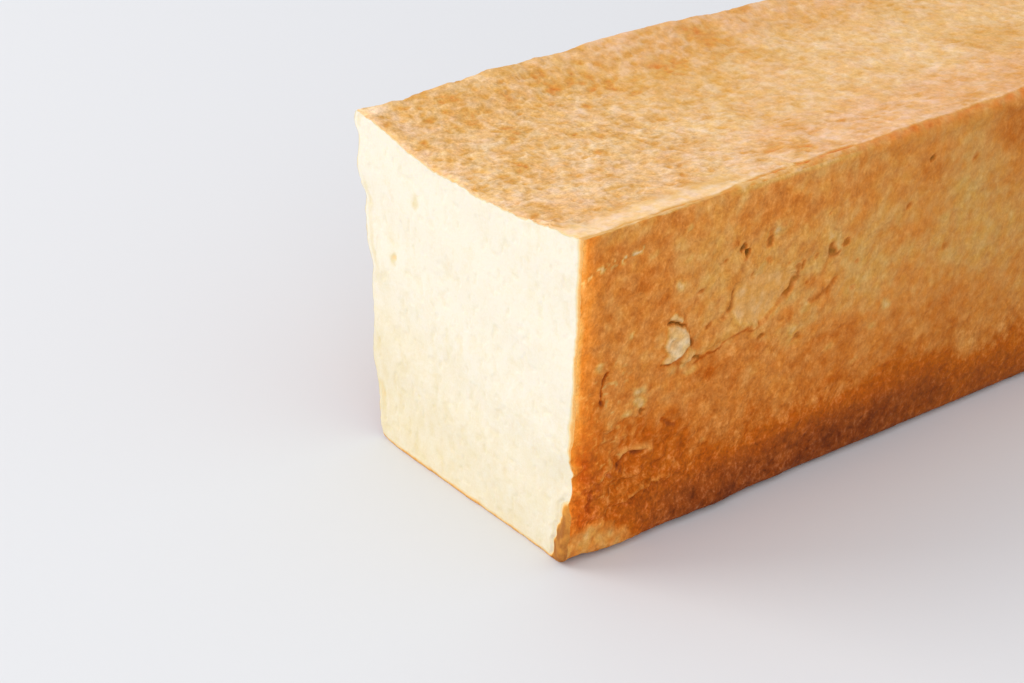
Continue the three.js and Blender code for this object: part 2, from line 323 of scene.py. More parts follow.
# The torn flake: a leaf of raw dough that stands off the wall, its tip, and the tongue by it.
FLAKE = [
    (35.5, 78), (38.6, 76.8), (41.8, 75.2), (43.9, 72.1), (45.2, 68.6), (43.6, 66.8),
    (41.1, 64.6), (38, 64.3), (35.2, 63.6), (36.1, 66.8), (35.5, 71.8),
]
FLAKE_TIP = [(36.1, 80.5), (38.6, 81.1), (40.8, 79.3), (41.1, 77.1), (38.6, 78), (36.1, 79.3)]
TONGUE = [(41.8, 63), (43, 65.5), (46.1, 66.8), (48.6, 64.3), (48, 61.4), (44.9, 60.8)]
FLAKE_HEIGHT = 1.2
TIP_HEIGHT = 0.72
TONGUE_HEIGHT = 0.84
# The flake's hollow, sunk and painted darker with shade.
FLAKE_HOLLOW = [(38, 70.8, 2.6, 1)]
HOLLOW_DEPTH = 0.8

# Shadowed edges of the scar, then of the flake and its tongue: (path, half width, strength).
TEAR_SHADOWS = [
    ([(62, 82.5), (61.5, 79), (61.3, 75.5)], 1.7, 0.8),
    ([(89.8, 82.5), (89.6, 79.8)], 1.2, 0.7),
    ([(89.4, 78.5), (87.6, 75.4), (85.8, 73.6)], 1.5, 0.9),
    ([(86, 73.8), (80, 69), (76.5, 66)], 1, 0.35),
    ([(91.3, 84), (91.7, 81)], 1, 0.7),
    ([(107, 72), (104.7, 69.6), (101.6, 68.5), (96.5, 68.4)], 1.9, 0.45),
    ([(36, 78.8), (38.9, 77.3), (42.1, 75.8)], 0.8, 1),
    ([(42.1, 75.8), (44.1, 72.9), (45.4, 69.8)], 0.7, 0.4),
    ([(45.6, 69.8), (46.7, 68.3), (46.8, 67)], 1.2, 1),
    ([(42.6, 66.3), (44.2, 67.6)], 1, 0.8),
    ([(34.9, 63.5), (38, 64)], 0.9, 0.8),
    ([(38, 64), (41.8, 65.8)], 0.7, 0.3),
    ([(47.4, 61.8), (50.2, 61.4)], 1.2, 0.9),
]
SHADOW_DEPTH = 0.8

# Cracks and creases, sunk and painted dark with shade: (path, half width, depth).
CRACKS = [
    ([(12.2, 67.8), (11.2, 66.2), (11, 62), (11.1, 57.2)], 0.9, 1),
    ([(36.6, 43), (38.4, 41.8), (40, 40.6), (42.4, 39.6)], 1, 0.55),
    ([(8.2, 25.5), (8.5, 22.5), (8, 19)], 1.1, 0.9),
]
# Gathered ridges low down near the cut: (line along the crest, half width, height).
RIDGES = [
    ([(11.5, 30), (16, 33), (20.5, 35.6), (24.5, 37), (29, 36), (31.5, 34.5)], 2.6, 1.1),
    ([(23.4, 18.3), (27.8, 18.9), (31.5, 20.4), (34, 21.4), (37.8, 21.1), (41.5, 20.1)], 2, 0.8),
    ([(14, 47.5), (18.5, 50), (24, 50.6), (28.5, 48.8)], 2.2, 0.45),
]
# A groove runs this far below each ridge. Ridges are painted paler as highlights and grooves
# darker as shade.
GROOVE_BELOW = 2.6
# Small holes where bubbles burst, sunk and painted dark with shade: (along, up, radius, how deep
# from 0 to 1).
HOLES = [
    (64.6, 96.3, 1.5, 0.9), (66.4, 93.8, 1.7, 1), (62.2, 99.2, 1.4, 0.45),
    (76, 95.6, 2.6, 0.55), (76.6, 98.8, 1.6, 0.35), (105, 82.6, 2.3, 0.5), (107.6, 82.2, 1.6, 0.5),
    (105.5, 84.9, 2.2, 0.45), (111.3, 85.3, 2, 0.55), (97.4, 84, 1.6, 0.25),
    (117.4, 76.2, 1.6, 0.35), (69.9, 85.6, 1.4, 0.35), (75.5, 65.8, 1.4, 0.5),
    (57.2, 94.2, 1.3, 0.35), (52.2, 72.6, 1.5, 0.35),
    (94.6, 75, 1.2, 0.35), (48.4, 86.5, 1.3, 0.45), (101, 98, 1.3, 0.3), (76.6, 89, 1.5, 0.3),
    (116, 66.8, 1.6, 0.3), (75.8, 61.2, 1.6, 0.55), (85, 85.2, 1.3, 0.3), (59.2, 73.2, 1.2, 0.3),
    (146, 105.5, 1.7, 0.6), (167, 101, 2.2, 0.3), (138.5, 90.4, 1.8, 0.4), (159.5, 70, 2, 0.3),
    (15.3, 29.4, 1.3, 0.4), (19, 32, 1.4, 0.5), (20.9, 30.1, 1.2, 0.5), (26.5, 34.4, 1.4, 0.35),
    (29, 33.9, 1.2, 0.3), (29.6, 28.2, 1.3, 0.3), (27.7, 49.4, 1.1, 0.55), (93.4, 55.4, 2.6, 0.55),
]
HOLE_DEPTH = 0.9
# Pale places where the skin stayed off the tin: (along, up, radius, how pale from 0 to 1).
PALE_SPOTS = [
    (80, 99.8, 4.4, 0.75), (103.5, 89, 3, 0.6), (108.5, 84, 2.4, 0.4), (107.5, 87.5, 4, 0.5),
    (134, 56.5, 3.2, 0.55), (129, 50, 3.4, 0.4), (65, 72.5, 3.5, 0.3), (71.5, 70.5, 3.5, 0.3),
    (79, 70, 3.5, 0.25), (65, 82.5, 3, 0.3), (72, 86, 2.5, 0.3), (12, 50, 9, 0.25),
    (16, 39, 10, 0.2),
    (90, 58.3, 3, 0.6), (108, 47, 3, 0.35), (70.7, 87, 2.4, 0.35), (39.2, 91, 3, 0.55),
    (23, 93.6, 2.5, 0.2), (20.4, 79, 1.2, 0.8), (9.8, 70.8, 3.6, 0.85), (43.4, 110.6, 1.8, 0.6),
    (44.5, 61.5, 3.6, 0.7), (47.5, 57.2, 3.6, 0.7), (38.5, 60.5, 3.4, 0.5),
    (28, 105, 1.6, 0.35), (52.5, 99.7, 2.4, 0.25), (42.8, 99.5, 1.6, 0.3), (26.1, 57, 3, 1),
    (25.9, 52.6, 2.8, 0.9), (21.8, 50.2, 2.2, 0.35), (56.8, 28.5, 2, 0.5), (121.5, 37, 3.4, 0.3),
    (95.4, 65.4, 2.2, 0.3), (162, 92.4, 5, 0.3), (141.7, 74.3, 5, 0.3), (157, 80.4, 4, 0.25),
    (53, 75, 7, 0.15),
]
# Places that baked harder: (along, up, radius, strength).
BROWN_SPOTS = [
    (54.7, 54.5, 4, 0.1), (75.5, 58.5, 5, 0.06), (31, 84, 9, 0.04), (30, 101, 12, 0.05),
    (104, 72, 15, 0.09), (89, 65.5, 8, 0.13), (96, 76, 6, 0.05),
]
# How pale the knife left the cut's right edge: (up, how pale from 0 to 1).
EDGE_PALENESS = [
    (20, 0), (30, 0.3), (38, 0.9), (44, 0.3), (54, 0.3), (60, 1), (86, 1), (94, 0.1), (105, 0.2),
    (114, 1),
]
# The line of torn flecks that slopes up from the cut, under the top edge.
FLECK_LINE = [(0.5, 103), (5.8, 104.9), (10, 105.2), (13.3, 106.1), (18.2, 106.2), (23.5, 107.8)]
FLECK_HEIGHT = 0.4

# Marks on the top: (x, along, radius, strength). Orange pits, red-brown blotches, pale skin.
TOP_PITS = [
    (35, 128, 3, 0.6), (39, 135, 2.4, 0.4), (25, 132, 2.4, 0.35), (-33, 7, 4, 0.5),
    (-19, 9.5, 3.4, 0.45), (-2.5, 25, 3.6, 0.25), (3.5, 50, 4.2, 0.5), (-42, 68, 5, 0.5),
    (-28, 72.5, 4, 0.4), (10, 69, 3, 0.4), (14, 32.5, 3, 0.4), (-12.5, 51.7, 3, 0.4),
    (-45, 48, 4, 0.3), (-58, 166, 4, 0.4), (2, 99, 2.6, 0.4), (33, 3, 3, 0.4),
    (53.7, 89, 2, 0.7), (57.5, 73, 2.2, 0.6),
]
PIT_DEPTH = 0.5
TOP_BLOTCHES = [
    (40, 95, 8, 0.22), (45.5, 100, 6.5, 0.2), (44, 92.5, 3.5, 0.12), (-48, 139, 11, 0.2),
    (-36, 114, 12, 0.2), (8, 226, 24, 0.15), (-30, 148, 9, 0.12), (-32, 57, 12, 0.1),
    (-2, 24, 8, 0.15), (-26, 37, 9, 0.2), (28, 10, 8, 0.25), (50, 225, 20, 0.12),
    (-30, 14, 11, 0.1),
]
TOP_PALE = [
    (-26, 66.5, 5, 0.6), (-20, 76, 5, 0.35), (-21.5, 172, 6, 0.4), (10, 208, 8, 0.35),
    (19.5, 189, 5, 0.35), (-10, 146, 6, 0.4), (-17, 116, 5, 0.35), (9, 89, 6, 0.35),
    (-31, 33, 3, 0.3), (11, 41, 4, 0.3), (-13, 15, 3, 0.2), (36, 52, 6, 0.2),
    (-57, 10, 6, 0.35), (45, 114, 10, 0.5), (18, 145, 9, 0.25),
]

# The broad swells of the left wall and of the top beside it, where up runs on across the top.
TOP_EDGE_UP = 118
LEFT_SWELLS = [
    Patch(92, TOP_EDGE_UP, 130, 26, 2.9),
    Patch(0, TOP_EDGE_UP - 3, 14, 5, 2.8),
    Patch(0, 99, 26, 11, 2.1),
    Patch(0, 89, 20, 5, -1.2),
    Patch(0, 66, 30, 9, -1.9),
    Patch(0, 32, 30, 16, 2.1),
    Patch(0, TOP_EDGE_UP + 15, 10, 14, 0.8, 0, 0.4),
]

# The right top edge: a seam bead that starts this far from the cut and is full this much later.
SEAM_START = 40
SEAM_GROWTH = 110
SEAM_GROOVE = 0.5
SEAM_DEPTH = 0.5
# Small bumps along the left top edge.
EDGE_BUMP = 0.45

SWELL_ACROSS = 42
LUMP_ACROSS = 13

# Soft-edged areas, as bands: the pebbled, puckered skin low down beside the cut, the crust that
# baked harder just behind the cut, the pale glints beside the cut, and the smooth band of the top
# by the seam.
PUCKERED = [(1, [(75, 25)], [(6, 14), (60, 35)])]
BEHIND_CUT = [(1, [(1, 4), (15, 8)], [(66, 46)])]
GLINTING = [(1, [(30, 14)], [(80, 60)])]
SMOOTH_BY_SEAM = [(1, [(40, 50)], [(85, 55)])]

# How brown the walls and the top are before their marks.
WALL_BAKE = 0.53
TOP_BAKE = 0.37
# Bands that baked harder, or paler below 0, and on the cut bands of painted shade. On the walls
# they go along and up, on the top across and along, and on the cut across and up.
WALL_BANDS = [
    (0.07, [], [(75, 28)]),
    (0.145, [], [(31, 4)]),
    (0.145, [(25, 62)], [(31, 4)]),
    (0.05, [(60, 10)], []),
    (-0.02, [(70, 150)], [(25, 70)]),
    (-0.02, [(38, 55), (120, 90)], [(55, 68)]),
    (-0.05, [(145, 190)], [(60, 30)]),
    (0.07, [(65, 30)], [(19, 28), (52, 34)]),
    (0.07, [(45, 110)], [(90, 108)]),
    (0.03, [(160, 200)], [(60, 90)]),
]
RIGHT_BANDS = [
    (0.03, [(12, 6)], [(50, 70)]),
    (-0.06, [(2, 6), (34, 16)], [(110, 114)]),
]
TOP_BANDS = [
    (0.03, [(-30, -60)], []),
    (0.03, [(-52, -42), (5, -20)], [(30, 70), (215, 190)]),
    (0.05, [(40, 52)], [(140, 175)]),
    (0.025, [(-10, 0), (46, 38)], [(195, 215)]),
    (-0.11, [], [(3, 0.5)]),
]
# Painted shade on the cut: the crumb is yellower and darker low down and towards the lower left.
CRUMB_SHADE_BANDS = [
    (0.12, [], [(75, 0)]),
    (0.06, [(10, -60)], [(100, 30)]),
]
# Patches of the right wall that baked paler or harder; height is how much.
BAKED_PATCHES = [Patch(22, 52, 13, 8, -0.06), Patch(128, 14, 40, 18, 0.06)]
WALL_MOTTLING = [(0.045, 1, 2, 24), (0.025, 1.4, 6, 13), (0.04, 1.6, 3, 8)]
TOP_MOTTLING = [(0.04, 1, 7, 20), (0.025, 1, 8, 8)]
# What each mark adds to the browning mark where it is full. Some entries are painted light, not
# baking: painted shade in the tear rims, cracks, grooves, fold edge and flake hollow, painted
# highlights on the ridges, crests and glints, and both along the pleats.
BAKE_AND_SHADING = {
    "scar": -0.04, "fold": -0.05, "fold edge": 0.12, "flake": -0.36, "tongue": -0.15,
    "flake hollow": 0.2, "tear rims": 0.33, "cracks": 0.3, "ridges": -0.1, "grooves": 0.08,
    "pleats": -0.03, "pale spots": -0.19, "flecks": -0.26, "glints": -0.13, "behind cut": 0.085,
    "pits": 0.25, "blotches": 0.4, "pale skin": -0.24, "by the seam": -0.16, "seam line": 0.24,
    "seam bead": -0.12, "base": 0.05, "crests": -0.065, "wall grain": -0.03,
    "left corner": -0.25, "knife edge": -0.22,
}


def seam_growth(along):
    """How full the seam bead is at this distance from the cut, from 0 to 1."""
    return smooth(along, SEAM_START, SEAM_START + SEAM_GROWTH)


def ragged(along, up, push=0.7, across=2.6):
    """The same place, pushed about a little, so that the marks get torn outlines."""
    push_a = lumps(along, up, 0, across) + 0.5 * lumps(along, up, 9, 0.4 * across)
    push_u = lumps(along + 40, up, 0, across) + 0.5 * lumps(along + 40, up, 9, 0.4 * across)
    return along + push * push_a, up + push * push_u


def pleats(along, up):
    """Upright pleats of the gathered crust, from -1 to 1."""
    bent = along + 0.25 * (up - PLEATS.up) + 2.5 * lumps(along, up, 2, 5)
    return np.sin(2 * math.pi * bent / PLEAT_PITCH) * patch(along, up, PLEATS)


def burst_bubbles(along, up, core=0.25):
    """The burst bubbles, each deepest inside this share of its radius."""
    return spots(*ragged(along, up, 0.9, 1.8), HOLES, core)


def cracks(along, up, widened_by=0):
    """The cracks and creases, from 0 to 1."""
    a, u = ragged(along, up, 0.5, 2)
    total = 0
    for path, half_width, depth in CRACKS:
        total = total + depth * line_mark(a, u, path, half_width + widened_by)
    return total


def gathered_ridges(along, up):
    """Heights of the gathered ridges and of the grooves below them, broken here and there."""
    a, u = ragged(along, up)
    whole = smooth(lumps(along, up, 6, 3), -0.7, 0.1)
    ridges, grooves = 0, 0
    for path, half_width, height in RIDGES:
        ridges = ridges + height * line_mark(a, u, path, half_width)
        grooves = grooves + height * line_mark(a, u + GROOVE_BELOW, path, 0.8 * half_width)
    return whole * ridges, whole * grooves


def fold(a, u):
    """How far each point lies above the fold's edge, and how near the fold it is, from 0 to 1."""
    return u - np.interp(a, *zip(*FOLD_EDGE)), bands(a, u, FOLD_REACH)


def right_wall_relief(along, up):
    """Height of the right wall's marks."""
    height = sum(mark.height * patch(along, up, mark) for mark in RIGHT_PATCHES)
    across = along * math.cos(WRINKLE_SLANT) + up * math.sin(WRINKLE_SLANT)
    wrinkles = np.sin(2 * math.pi * across / WRINKLE_PITCH)
    height = height + 0.5 * WRINKLES.height * wrinkles * patch(along, up, WRINKLES)
    height += PLEATS.height * pleats(along, up)

    a, u = ragged(along, up)
    # The scar is shallow at its upper left and deepest at its lower right rim.
    toward_rim = smooth(0.5 * (a - SCAR_MIDDLE) - 0.85 * (u - SCAR_MIDDLE), -10, 9)
    height -= SCAR_DEPTH * (0.35 + 0.65 * toward_rim) * smooth(inside(a, u, SCAR), -0.3, 1.2)
    for path, half_width, strength in TEAR_SHADOWS:
        height -= SHADOW_DEPTH * strength * line_mark(a, u, path, half_width)
    above_edge, near_fold = fold(a, u)
    height += FOLD_STEP * near_fold * smooth(above_edge, -0.5, 0.5) * smooth(above_edge, 11, 1)
    height += FLAKE_HEIGHT * smooth(inside(a, u, FLAKE), -0.3, 0.6)
    height += TIP_HEIGHT * smooth(inside(a, u, FLAKE_TIP), -0.2, 0.5)
    height += TONGUE_HEIGHT * smooth(inside(a, u, TONGUE), -0.3, 0.6)
    height -= HOLLOW_DEPTH * spots(a, u, FLAKE_HOLLOW)

    ridges, grooves = gathered_ridges(along, up)
    height += ridges - 0.5 * grooves - cracks(along, up)
    height -= HOLE_DEPTH * burst_bubbles(along, up)
    flecks = line_mark(a, u, FLECK_LINE, 1.3) * smooth(lumps(along, up, 5, 2), -0.2, 0.4)
    height += FLECK_HEIGHT * flecks
    pebbles = 0.6 * curls(along, up, 0, 5) + 0.4 * lumps(along, up, 3, 2.3)
    return height + bands(along, up, PUCKERED) * pebbles


def foot_roll(along, up):
    """The roll of dough along the foot."""
    return FOOT_ROLL.height * patch(along, up, FOOT_ROLL)


def foot_crease(along, away):
    """The crease beside the cut, this far up the right wall or in from it across the base."""
    return FOOT_CREASE.height * patch(along, away, FOOT_CREASE)


# ---- The section of the loaf ----

# The walls in ring order, seen from the cut, with the steps of the mesh across each.
WALL_NAMES = ("base", "right", "top", "left")
WALL_STEPS = (48, 204, 228, 96)
HALF_CORNER_STEPS = 6
STEPS_ALONG = 340
STEPS_END_EDGE = 8
# The steps along the loaf are finest at the cut, and grow by this power towards the whole end.
ALONG_POWER = 1.25
# How far the whole form is moved so that the middle of its box stands on the origin.
CENTRING = (1.08, -0.0188)

Wall = namedtuple("Wall", "name facing straight_steps")


def shape_in_mm():
    """The shape settings in millimetres, as one record."""
    settings = bpy.context.scene.loaf_shape
    names = tuple(LoafShape.__annotations__)
    Shape = namedtuple("Shape", names)
    return Shape(*(getattr(settings, name) / MM for name in names))


def walls(shape):
    """The four walls in ring order, seen from the cut, with the way each faces."""
    flare = (shape.top_width - shape.base_width) / 2
    right_lean = math.atan2(flare - shape.base_shift, shape.height)
    left_lean = math.atan2(flare + shape.base_shift, shape.height)
    facings = (-math.pi / 2, -right_lean, math.pi / 2, math.pi + left_lean)
    return [Wall(*wall) for wall in zip(WALL_NAMES, facings, WALL_STEPS)]


def corners(shape, along):
    """The corner that starts each wall, as (x, z, radius)."""
    seam = shape.top_edge + (shape.seam - shape.top_edge) * seam_growth(along)
    half_base = shape.base_width / 2
    half_top = shape.top_width / 2
    even = np.ones_like(along)
    return [
        (shape.base_shift - half_base, 0, shape.base_edge * even),
        (shape.base_shift + half_base, 0, shape.base_edge * even),
        (half_top, shape.height, seam),
        (-half_top, shape.height, shape.top_edge * even),
    ]


def corner_middle(corner, before, after):
    """Middle of a rounded corner: the point that lies its radius inside both of its walls."""
    x, z, radius = corner
    bisector = (before + after) / 2
    reach = radius / math.cos((after - before) / 2)
    return x - reach * math.cos(bisector), z - reach * math.sin(bisector)


def wall_points(shape, index, along):
    """Places and outward directions on one wall, corner middle to corner middle."""
    ring = walls(shape)
    wall = ring[index]
    before = ring[index - 1].facing - (2 * math.pi if index == 0 else 0)
    after = ring[(index + 1) % 4].facing + (2 * math.pi if index == 3 else 0)
    first = corners(shape, along)[index]
    last = corners(shape, along)[(index + 1) % 4]
    start_x, start_z = corner_middle(first, before, wall.facing)
    end_x, end_z = corner_middle(last, wall.facing, after)

    steps = wall.straight_steps + 2 * HALF_CORNER_STEPS
    step = np.arange(steps + 1)
    t = np.clip((step - HALF_CORNER_STEPS) / wall.straight_steps, 0, 1)
    into_corner = np.where(step <= steps / 2, before, after)
    left = np.minimum(step, steps - step) / HALF_CORNER_STEPS
    turn = np.clip(1 - left, 0, 1) / 2
    facing = wall.facing + (into_corner - wall.facing) * turn
    radius = first[2] + (last[2] - first[2]) * t

    bow = 4 * t * (1 - t)
    dip = 0
    if wall.name == "top":
        at_cut, at_end = shape.top_dip_at_cut, shape.top_dip_at_end
        dip = bow * (at_cut + (at_end - at_cut) * along / shape.length)
    if wall.name == "left":
        dip = bow * shape.left_dip
    x = start_x + (end_x - start_x) * t + radius * np.cos(facing) - dip * math.cos(wall.facing)
    z = start_z + (end_z - start_z) * t + radius * np.sin(facing) - dip * math.sin(wall.facing)
    return x, z, np.cos(facing) + 0 * along, np.sin(facing) + 0 * along


# ---- Relief of the crust ----

def upness(face_z):
    """1 where the crust faces up, as the lidded top does, 0 on the walls."""
    return smooth(face_z, 0.35, 0.9)


def crests(x, along, z):
    """The top's crinkled crests round hollows 2 to 4 mm across; from about -1 to 1."""
    return 0.7 * curls(x, along, z, 4) + 0.5 * curls(x, along, z + 9, 2) - 0.4


def pale_band(x, along):
    """The smoother, paler band by the seam, near the cut: from 0 to 1."""
    return bands(x, along, SMOOTH_BY_SEAM)


def fine_relief(shape, x, along, z, face_z):
    """Winding crests on the top and a finely creased, leathery skin on the walls."""
    top = upness(face_z)
    grain = 1.2 * crests(x, along, z) + lumps(x, along, z, 1.3)
    patchy = 0.9 + 0.4 * lumps(x, along, z, 16)
    creases = 0.5 * lumps(x / 2, along / 1.3, z / 2.6, 1)
    pebbles = curls(z, along, x, 3.6) * (1.15 - smooth(z, 20, 75))
    leather = creases + 0.5 * pebbles + lumps(x, along, z, 1.5) + 0.5 * lumps(x, along, z + 5, 2.6)
    softened = (1 - 0.5 * pale_band(x, along)) * (1 - 0.3 * smooth(along, 60, 160))
    on_top = shape.grain * patchy * grain * softened
    on_walls = shape.leather * (0.8 + 0.4 * lumps(x, along, z, 21)) * leather
    return on_top * top + on_walls * (1 - top)


def crust_relief(shape, name, x, along, z, face_x, face_z):
    """All of the crust's relief, measured outwards."""
    height = shape.swell * lumps(x, along, z, SWELL_ACROSS)
    height = height + shape.lump * lumps(x + 500, along, z, LUMP_ACROSS)
    if name in ("left", "top"):
        up = TOP_EDGE_UP + shape.top_width / 2 + x if name == "top" else z
        height += sum(swell.height * patch(along, up, swell) for swell in LEFT_SWELLS)
        by_edge = smooth(np.abs(up - TOP_EDGE_UP), 9, 2)
        height += EDGE_BUMP * by_edge * lumps(0, along, 30, 6)
    if name == "top":
        height -= PIT_DEPTH * spots(x, along, TOP_PITS)
        height -= SEAM_DEPTH * seam_line(shape, x, along, z)
        height -= 0.5 * SEAM_DEPTH * smooth(x - seam_place(shape, along), 0, 0.8)
    if name == "right":
        height += right_wall_relief(along, z) + foot_roll(along, z)
        below = np.abs(shape.height - 2 * shape.seam - z) / shape.seam
        height -= SEAM_GROOVE * seam_growth(along) * (1 - np.clip(below, 0, 1))
    if name == "base":
        height += foot_roll(along, z) * smooth(x, 0, shape.base_width / 4)
    height += fine_relief(shape, x, along, z, face_z)
    # The underside lies flat.
    height = height * smooth(face_z, -1, -0.35)
    if name == "right":
        height += foot_crease(along, z)
    if name == "base":
        height += foot_crease(along, shape.base_shift + shape.base_width / 2 - x)
    return height


def seam_place(shape, along):
    """How far across the pinched line lies, just inside the right top edge."""
    wander = 0.5 * lumps(0, along, 0, 9) + 0.4 * lumps(0, along, 4, 2.6)
    return shape.top_width / 2 - 3.2 - 0.5 * smooth(along, 30, 80) + wander


def seam_line(shape, x, along, z):
    """The pinched line, from 0 to 1: broken and of uneven width, and gone far from the cut."""
    away = np.hypot(x - seam_place(shape, along), z - shape.height)
    uneven = smooth(lumps(3, along, 3, 5) + 0.5 * lumps(3, along, 8, 2), -0.5, 0.5)
    there = smooth(along, 6, 20) * smooth(along, 135, 108)
    return there * (0.3 + 0.7 * uneven) * smooth(away, 0.8 + 0.6 * uneven, 0.2)


def seam_bead(along):
    """How far the dough outside the pinched line swelled to a pale bead, from 0 to 1."""
    return smooth(along, 50, 72) * smooth(along, 125, 100)


# ---- How brown the crust is, from 0, raw dough, to 1, nearly burnt, with painted shade and highlights ----

def wall_browning(along, up):
    """The walls: amber above, paler far from the cut, and brown near the foot."""
    return WALL_BAKE + bands(along, up, WALL_BANDS) + mottling(along, up, WALL_MOTTLING)


def tears(along, up):
    """How far each place is scarred, flaked or part of the flake's tongue, from 0 to 1 each."""
    a, u = ragged(along, up)
    scar = smooth(inside(a, u, SCAR), -0.6, 1.5)
    tip = smooth(inside(a, u, FLAKE_TIP), -0.4, 0.5)
    flake = np.maximum(smooth(inside(a, u, FLAKE), -0.4, 0.6), tip)
    tongue = smooth(inside(a, u, TONGUE), -0.5, 1)
    return scar, flake, tongue


def tear_rims(along, up):
    """The shadowed rims of the tears and the burst bubbles, from 0 to 1."""
    a, u = ragged(along, up)
    rim = 0
    for path, half_width, strength in TEAR_SHADOWS:
        rim = np.maximum(rim, strength * line_mark(a, u, path, half_width))
    return np.maximum(rim, 1.3 * burst_bubbles(along, up, 0.3))


def right_wall_browning(along, up):
    """What the right wall's marks add to its browning, painted shade and highlights among them."""
    a, u = ragged(along, up)
    scar, flake, tongue = tears(along, up)
    brown = BAKE_AND_SHADING["scar"] * scar * (1 + 1.5 * lumps(along / 1.6, up, 4, 5))
    above_edge, near_fold = fold(a, u)
    brown += BAKE_AND_SHADING["fold"] * near_fold * smooth(above_edge, 0, 1) * smooth(above_edge, 10, 2)
    # Painted shadow along the fold's edge.
    brown += BAKE_AND_SHADING["fold edge"] * near_fold * line_mark(a, u, FOLD_EDGE, 1.4)
    uneven = 1 + 0.5 * lumps(along, up, 4, 2.2)
    brown += uneven * (BAKE_AND_SHADING["flake"] * flake + BAKE_AND_SHADING["tongue"] * tongue)
    # Painted shade in the flake's hollow.
    brown += BAKE_AND_SHADING["flake hollow"] * spots(a, u, FLAKE_HOLLOW, 0)
    # Painted shade on the rims of the tears and in the burst bubbles.
    brown += BAKE_AND_SHADING["tear rims"] * tear_rims(along, up)
    # Painted shade in the cracks.
    brown += BAKE_AND_SHADING["cracks"] * cracks(along, up, 0.1)
    # Painted highlights on the ridges and painted shade in the grooves below them.
    ridges, grooves = gathered_ridges(along, up)
    brown += BAKE_AND_SHADING["ridges"] * ridges + BAKE_AND_SHADING["grooves"] * grooves
    # Painted highlights and shade along the pleats, paler where they stand out.
    brown += BAKE_AND_SHADING["pleats"] * pleats(along, up)
    wide_a, wide_u = ragged(along, up, 2, 5)
    brown += BAKE_AND_SHADING["pale spots"] * spots(wide_a, wide_u, PALE_SPOTS, 0.2)
    brown += spots(wide_a, wide_u, BROWN_SPOTS, 0)
    flecks = line_mark(a, u, FLECK_LINE, 1.7) * smooth(lumps(along, up, 5, 1), -0.1, 0.3)
    brown += BAKE_AND_SHADING["flecks"] * flecks
    glints = smooth(lumps(along, up, 12, 1.2), 0.45, 0.8)
    brown += BAKE_AND_SHADING["glints"] * glints * bands(along, up, GLINTING)
    baked_harder = BAKE_AND_SHADING["behind cut"] + 0.08 * lumps(along, up, 7, 2)
    brown += baked_harder * bands(along, up, BEHIND_CUT) + bands(along, up, RIGHT_BANDS)
    return brown + sum(mark.height * patch(along, up, mark) for mark in BAKED_PATCHES)


def top_browning(shape, x, along):
    """The top: wheat crests and gold hollows, pits, blotches, and a pale band by the seam."""
    brown = TOP_BAKE + bands(x, along, TOP_BANDS) + mottling(x, along, TOP_MOTTLING)
    wide_x, wide_along = ragged(x, along, 1.6, 5)
    brown += BAKE_AND_SHADING["pits"] * spots(wide_x, wide_along, TOP_PITS)
    brown += BAKE_AND_SHADING["blotches"] * spots(wide_x, wide_along, TOP_BLOTCHES)
    brown += BAKE_AND_SHADING["pale skin"] * spots(wide_x, wide_along, TOP_PALE, 0)
    # The pale band is widest beside the cut.
    to_seam = shape.top_width / 2 - x + 2 * lumps(0, along, 5, 8)
    width = 16 - 8 * smooth(along, 25, 80)
    by_seam = smooth(to_seam, width, width - 7) * (1 - 0.6 * smooth(along, 55, 90))
    brown += BAKE_AND_SHADING["by the seam"] * by_seam
    # Outside the seam the crust is as brown as the walls, but for a pale bead.
    outside = smooth(x - seam_place(shape, along), -0.2, 0.7)
    edge_brown = 0.4 + 0.13 * smooth(along, 10, 85) - 0.08 * seam_bead(along)
    edge_brown = edge_brown + 0.07 * lumps(x, along, 6, 3)
    return brown + (edge_brown - brown) * outside


def crust_browning(shape, name, x, along, z, face_z):
    """Browning of the crust at each point, with painted shade and highlights added."""
    top = upness(face_z + 0.3 * lumps(x, along, z, 2.4))
    # Over the edge of the whole end the top turns as brown as the walls.
    top = top * smooth(along, shape.length - 1, shape.length - shape.end_edge)
    on_walls = wall_browning(along, z)
    if name == "right":
        on_walls = on_walls + right_wall_browning(along, z)
        bead = smooth(z, shape.height - 3, shape.height - 1) * seam_bead(along)
        on_walls += BAKE_AND_SHADING["seam bead"] * bead
        roll = patch(along + 2 * lumps(along, z, 1, 4), z + lumps(along, z, 8, 3), PALE_ROLL)
        on_walls += (PALE_ROLL.height + 0.1 * lumps(along, z, 6, 2.5) - on_walls) * roll
    if name == "base":
        on_walls = on_walls + BAKE_AND_SHADING["base"]
    brown = on_walls * (1 - top) + top_browning(shape, x, along) * top
    # Painted highlights on the crests of the top and painted shade in its hollows, weaker far from
    # the cut and by the seam.
    strength = (1 - 0.4 * smooth(along, 60, 180)) * (1 - 0.7 * pale_band(x, along))
    brown = brown + BAKE_AND_SHADING["crests"] * strength * top * crests(x, along, z)
    brown = brown + BAKE_AND_SHADING["wall grain"] * (1 - top) * lumps(z, along, x, 3)
    brown = brown + BAKE_AND_SHADING["seam line"] * seam_line(shape, x, along, z)
    # The corner that the knife pulled out at the left stayed pale.
    left_corner = smooth(x, -53, -58) * smooth(z, 98, 112) * smooth(along, 12, 3)
    brown = brown + BAKE_AND_SHADING["left corner"] * left_corner
    # The knife left a paler, thinner edge of crust.
    edge = smooth(along + 0.5 * lumps(x, 1, z, 6), 2.8, 0.4)
    if name == "right":
        edge = edge * np.interp(z, *zip(*EDGE_PALENESS))
    brown = brown + BAKE_AND_SHADING["knife edge"] * (1 - top) * edge
    return np.clip(brown, 0, 1)


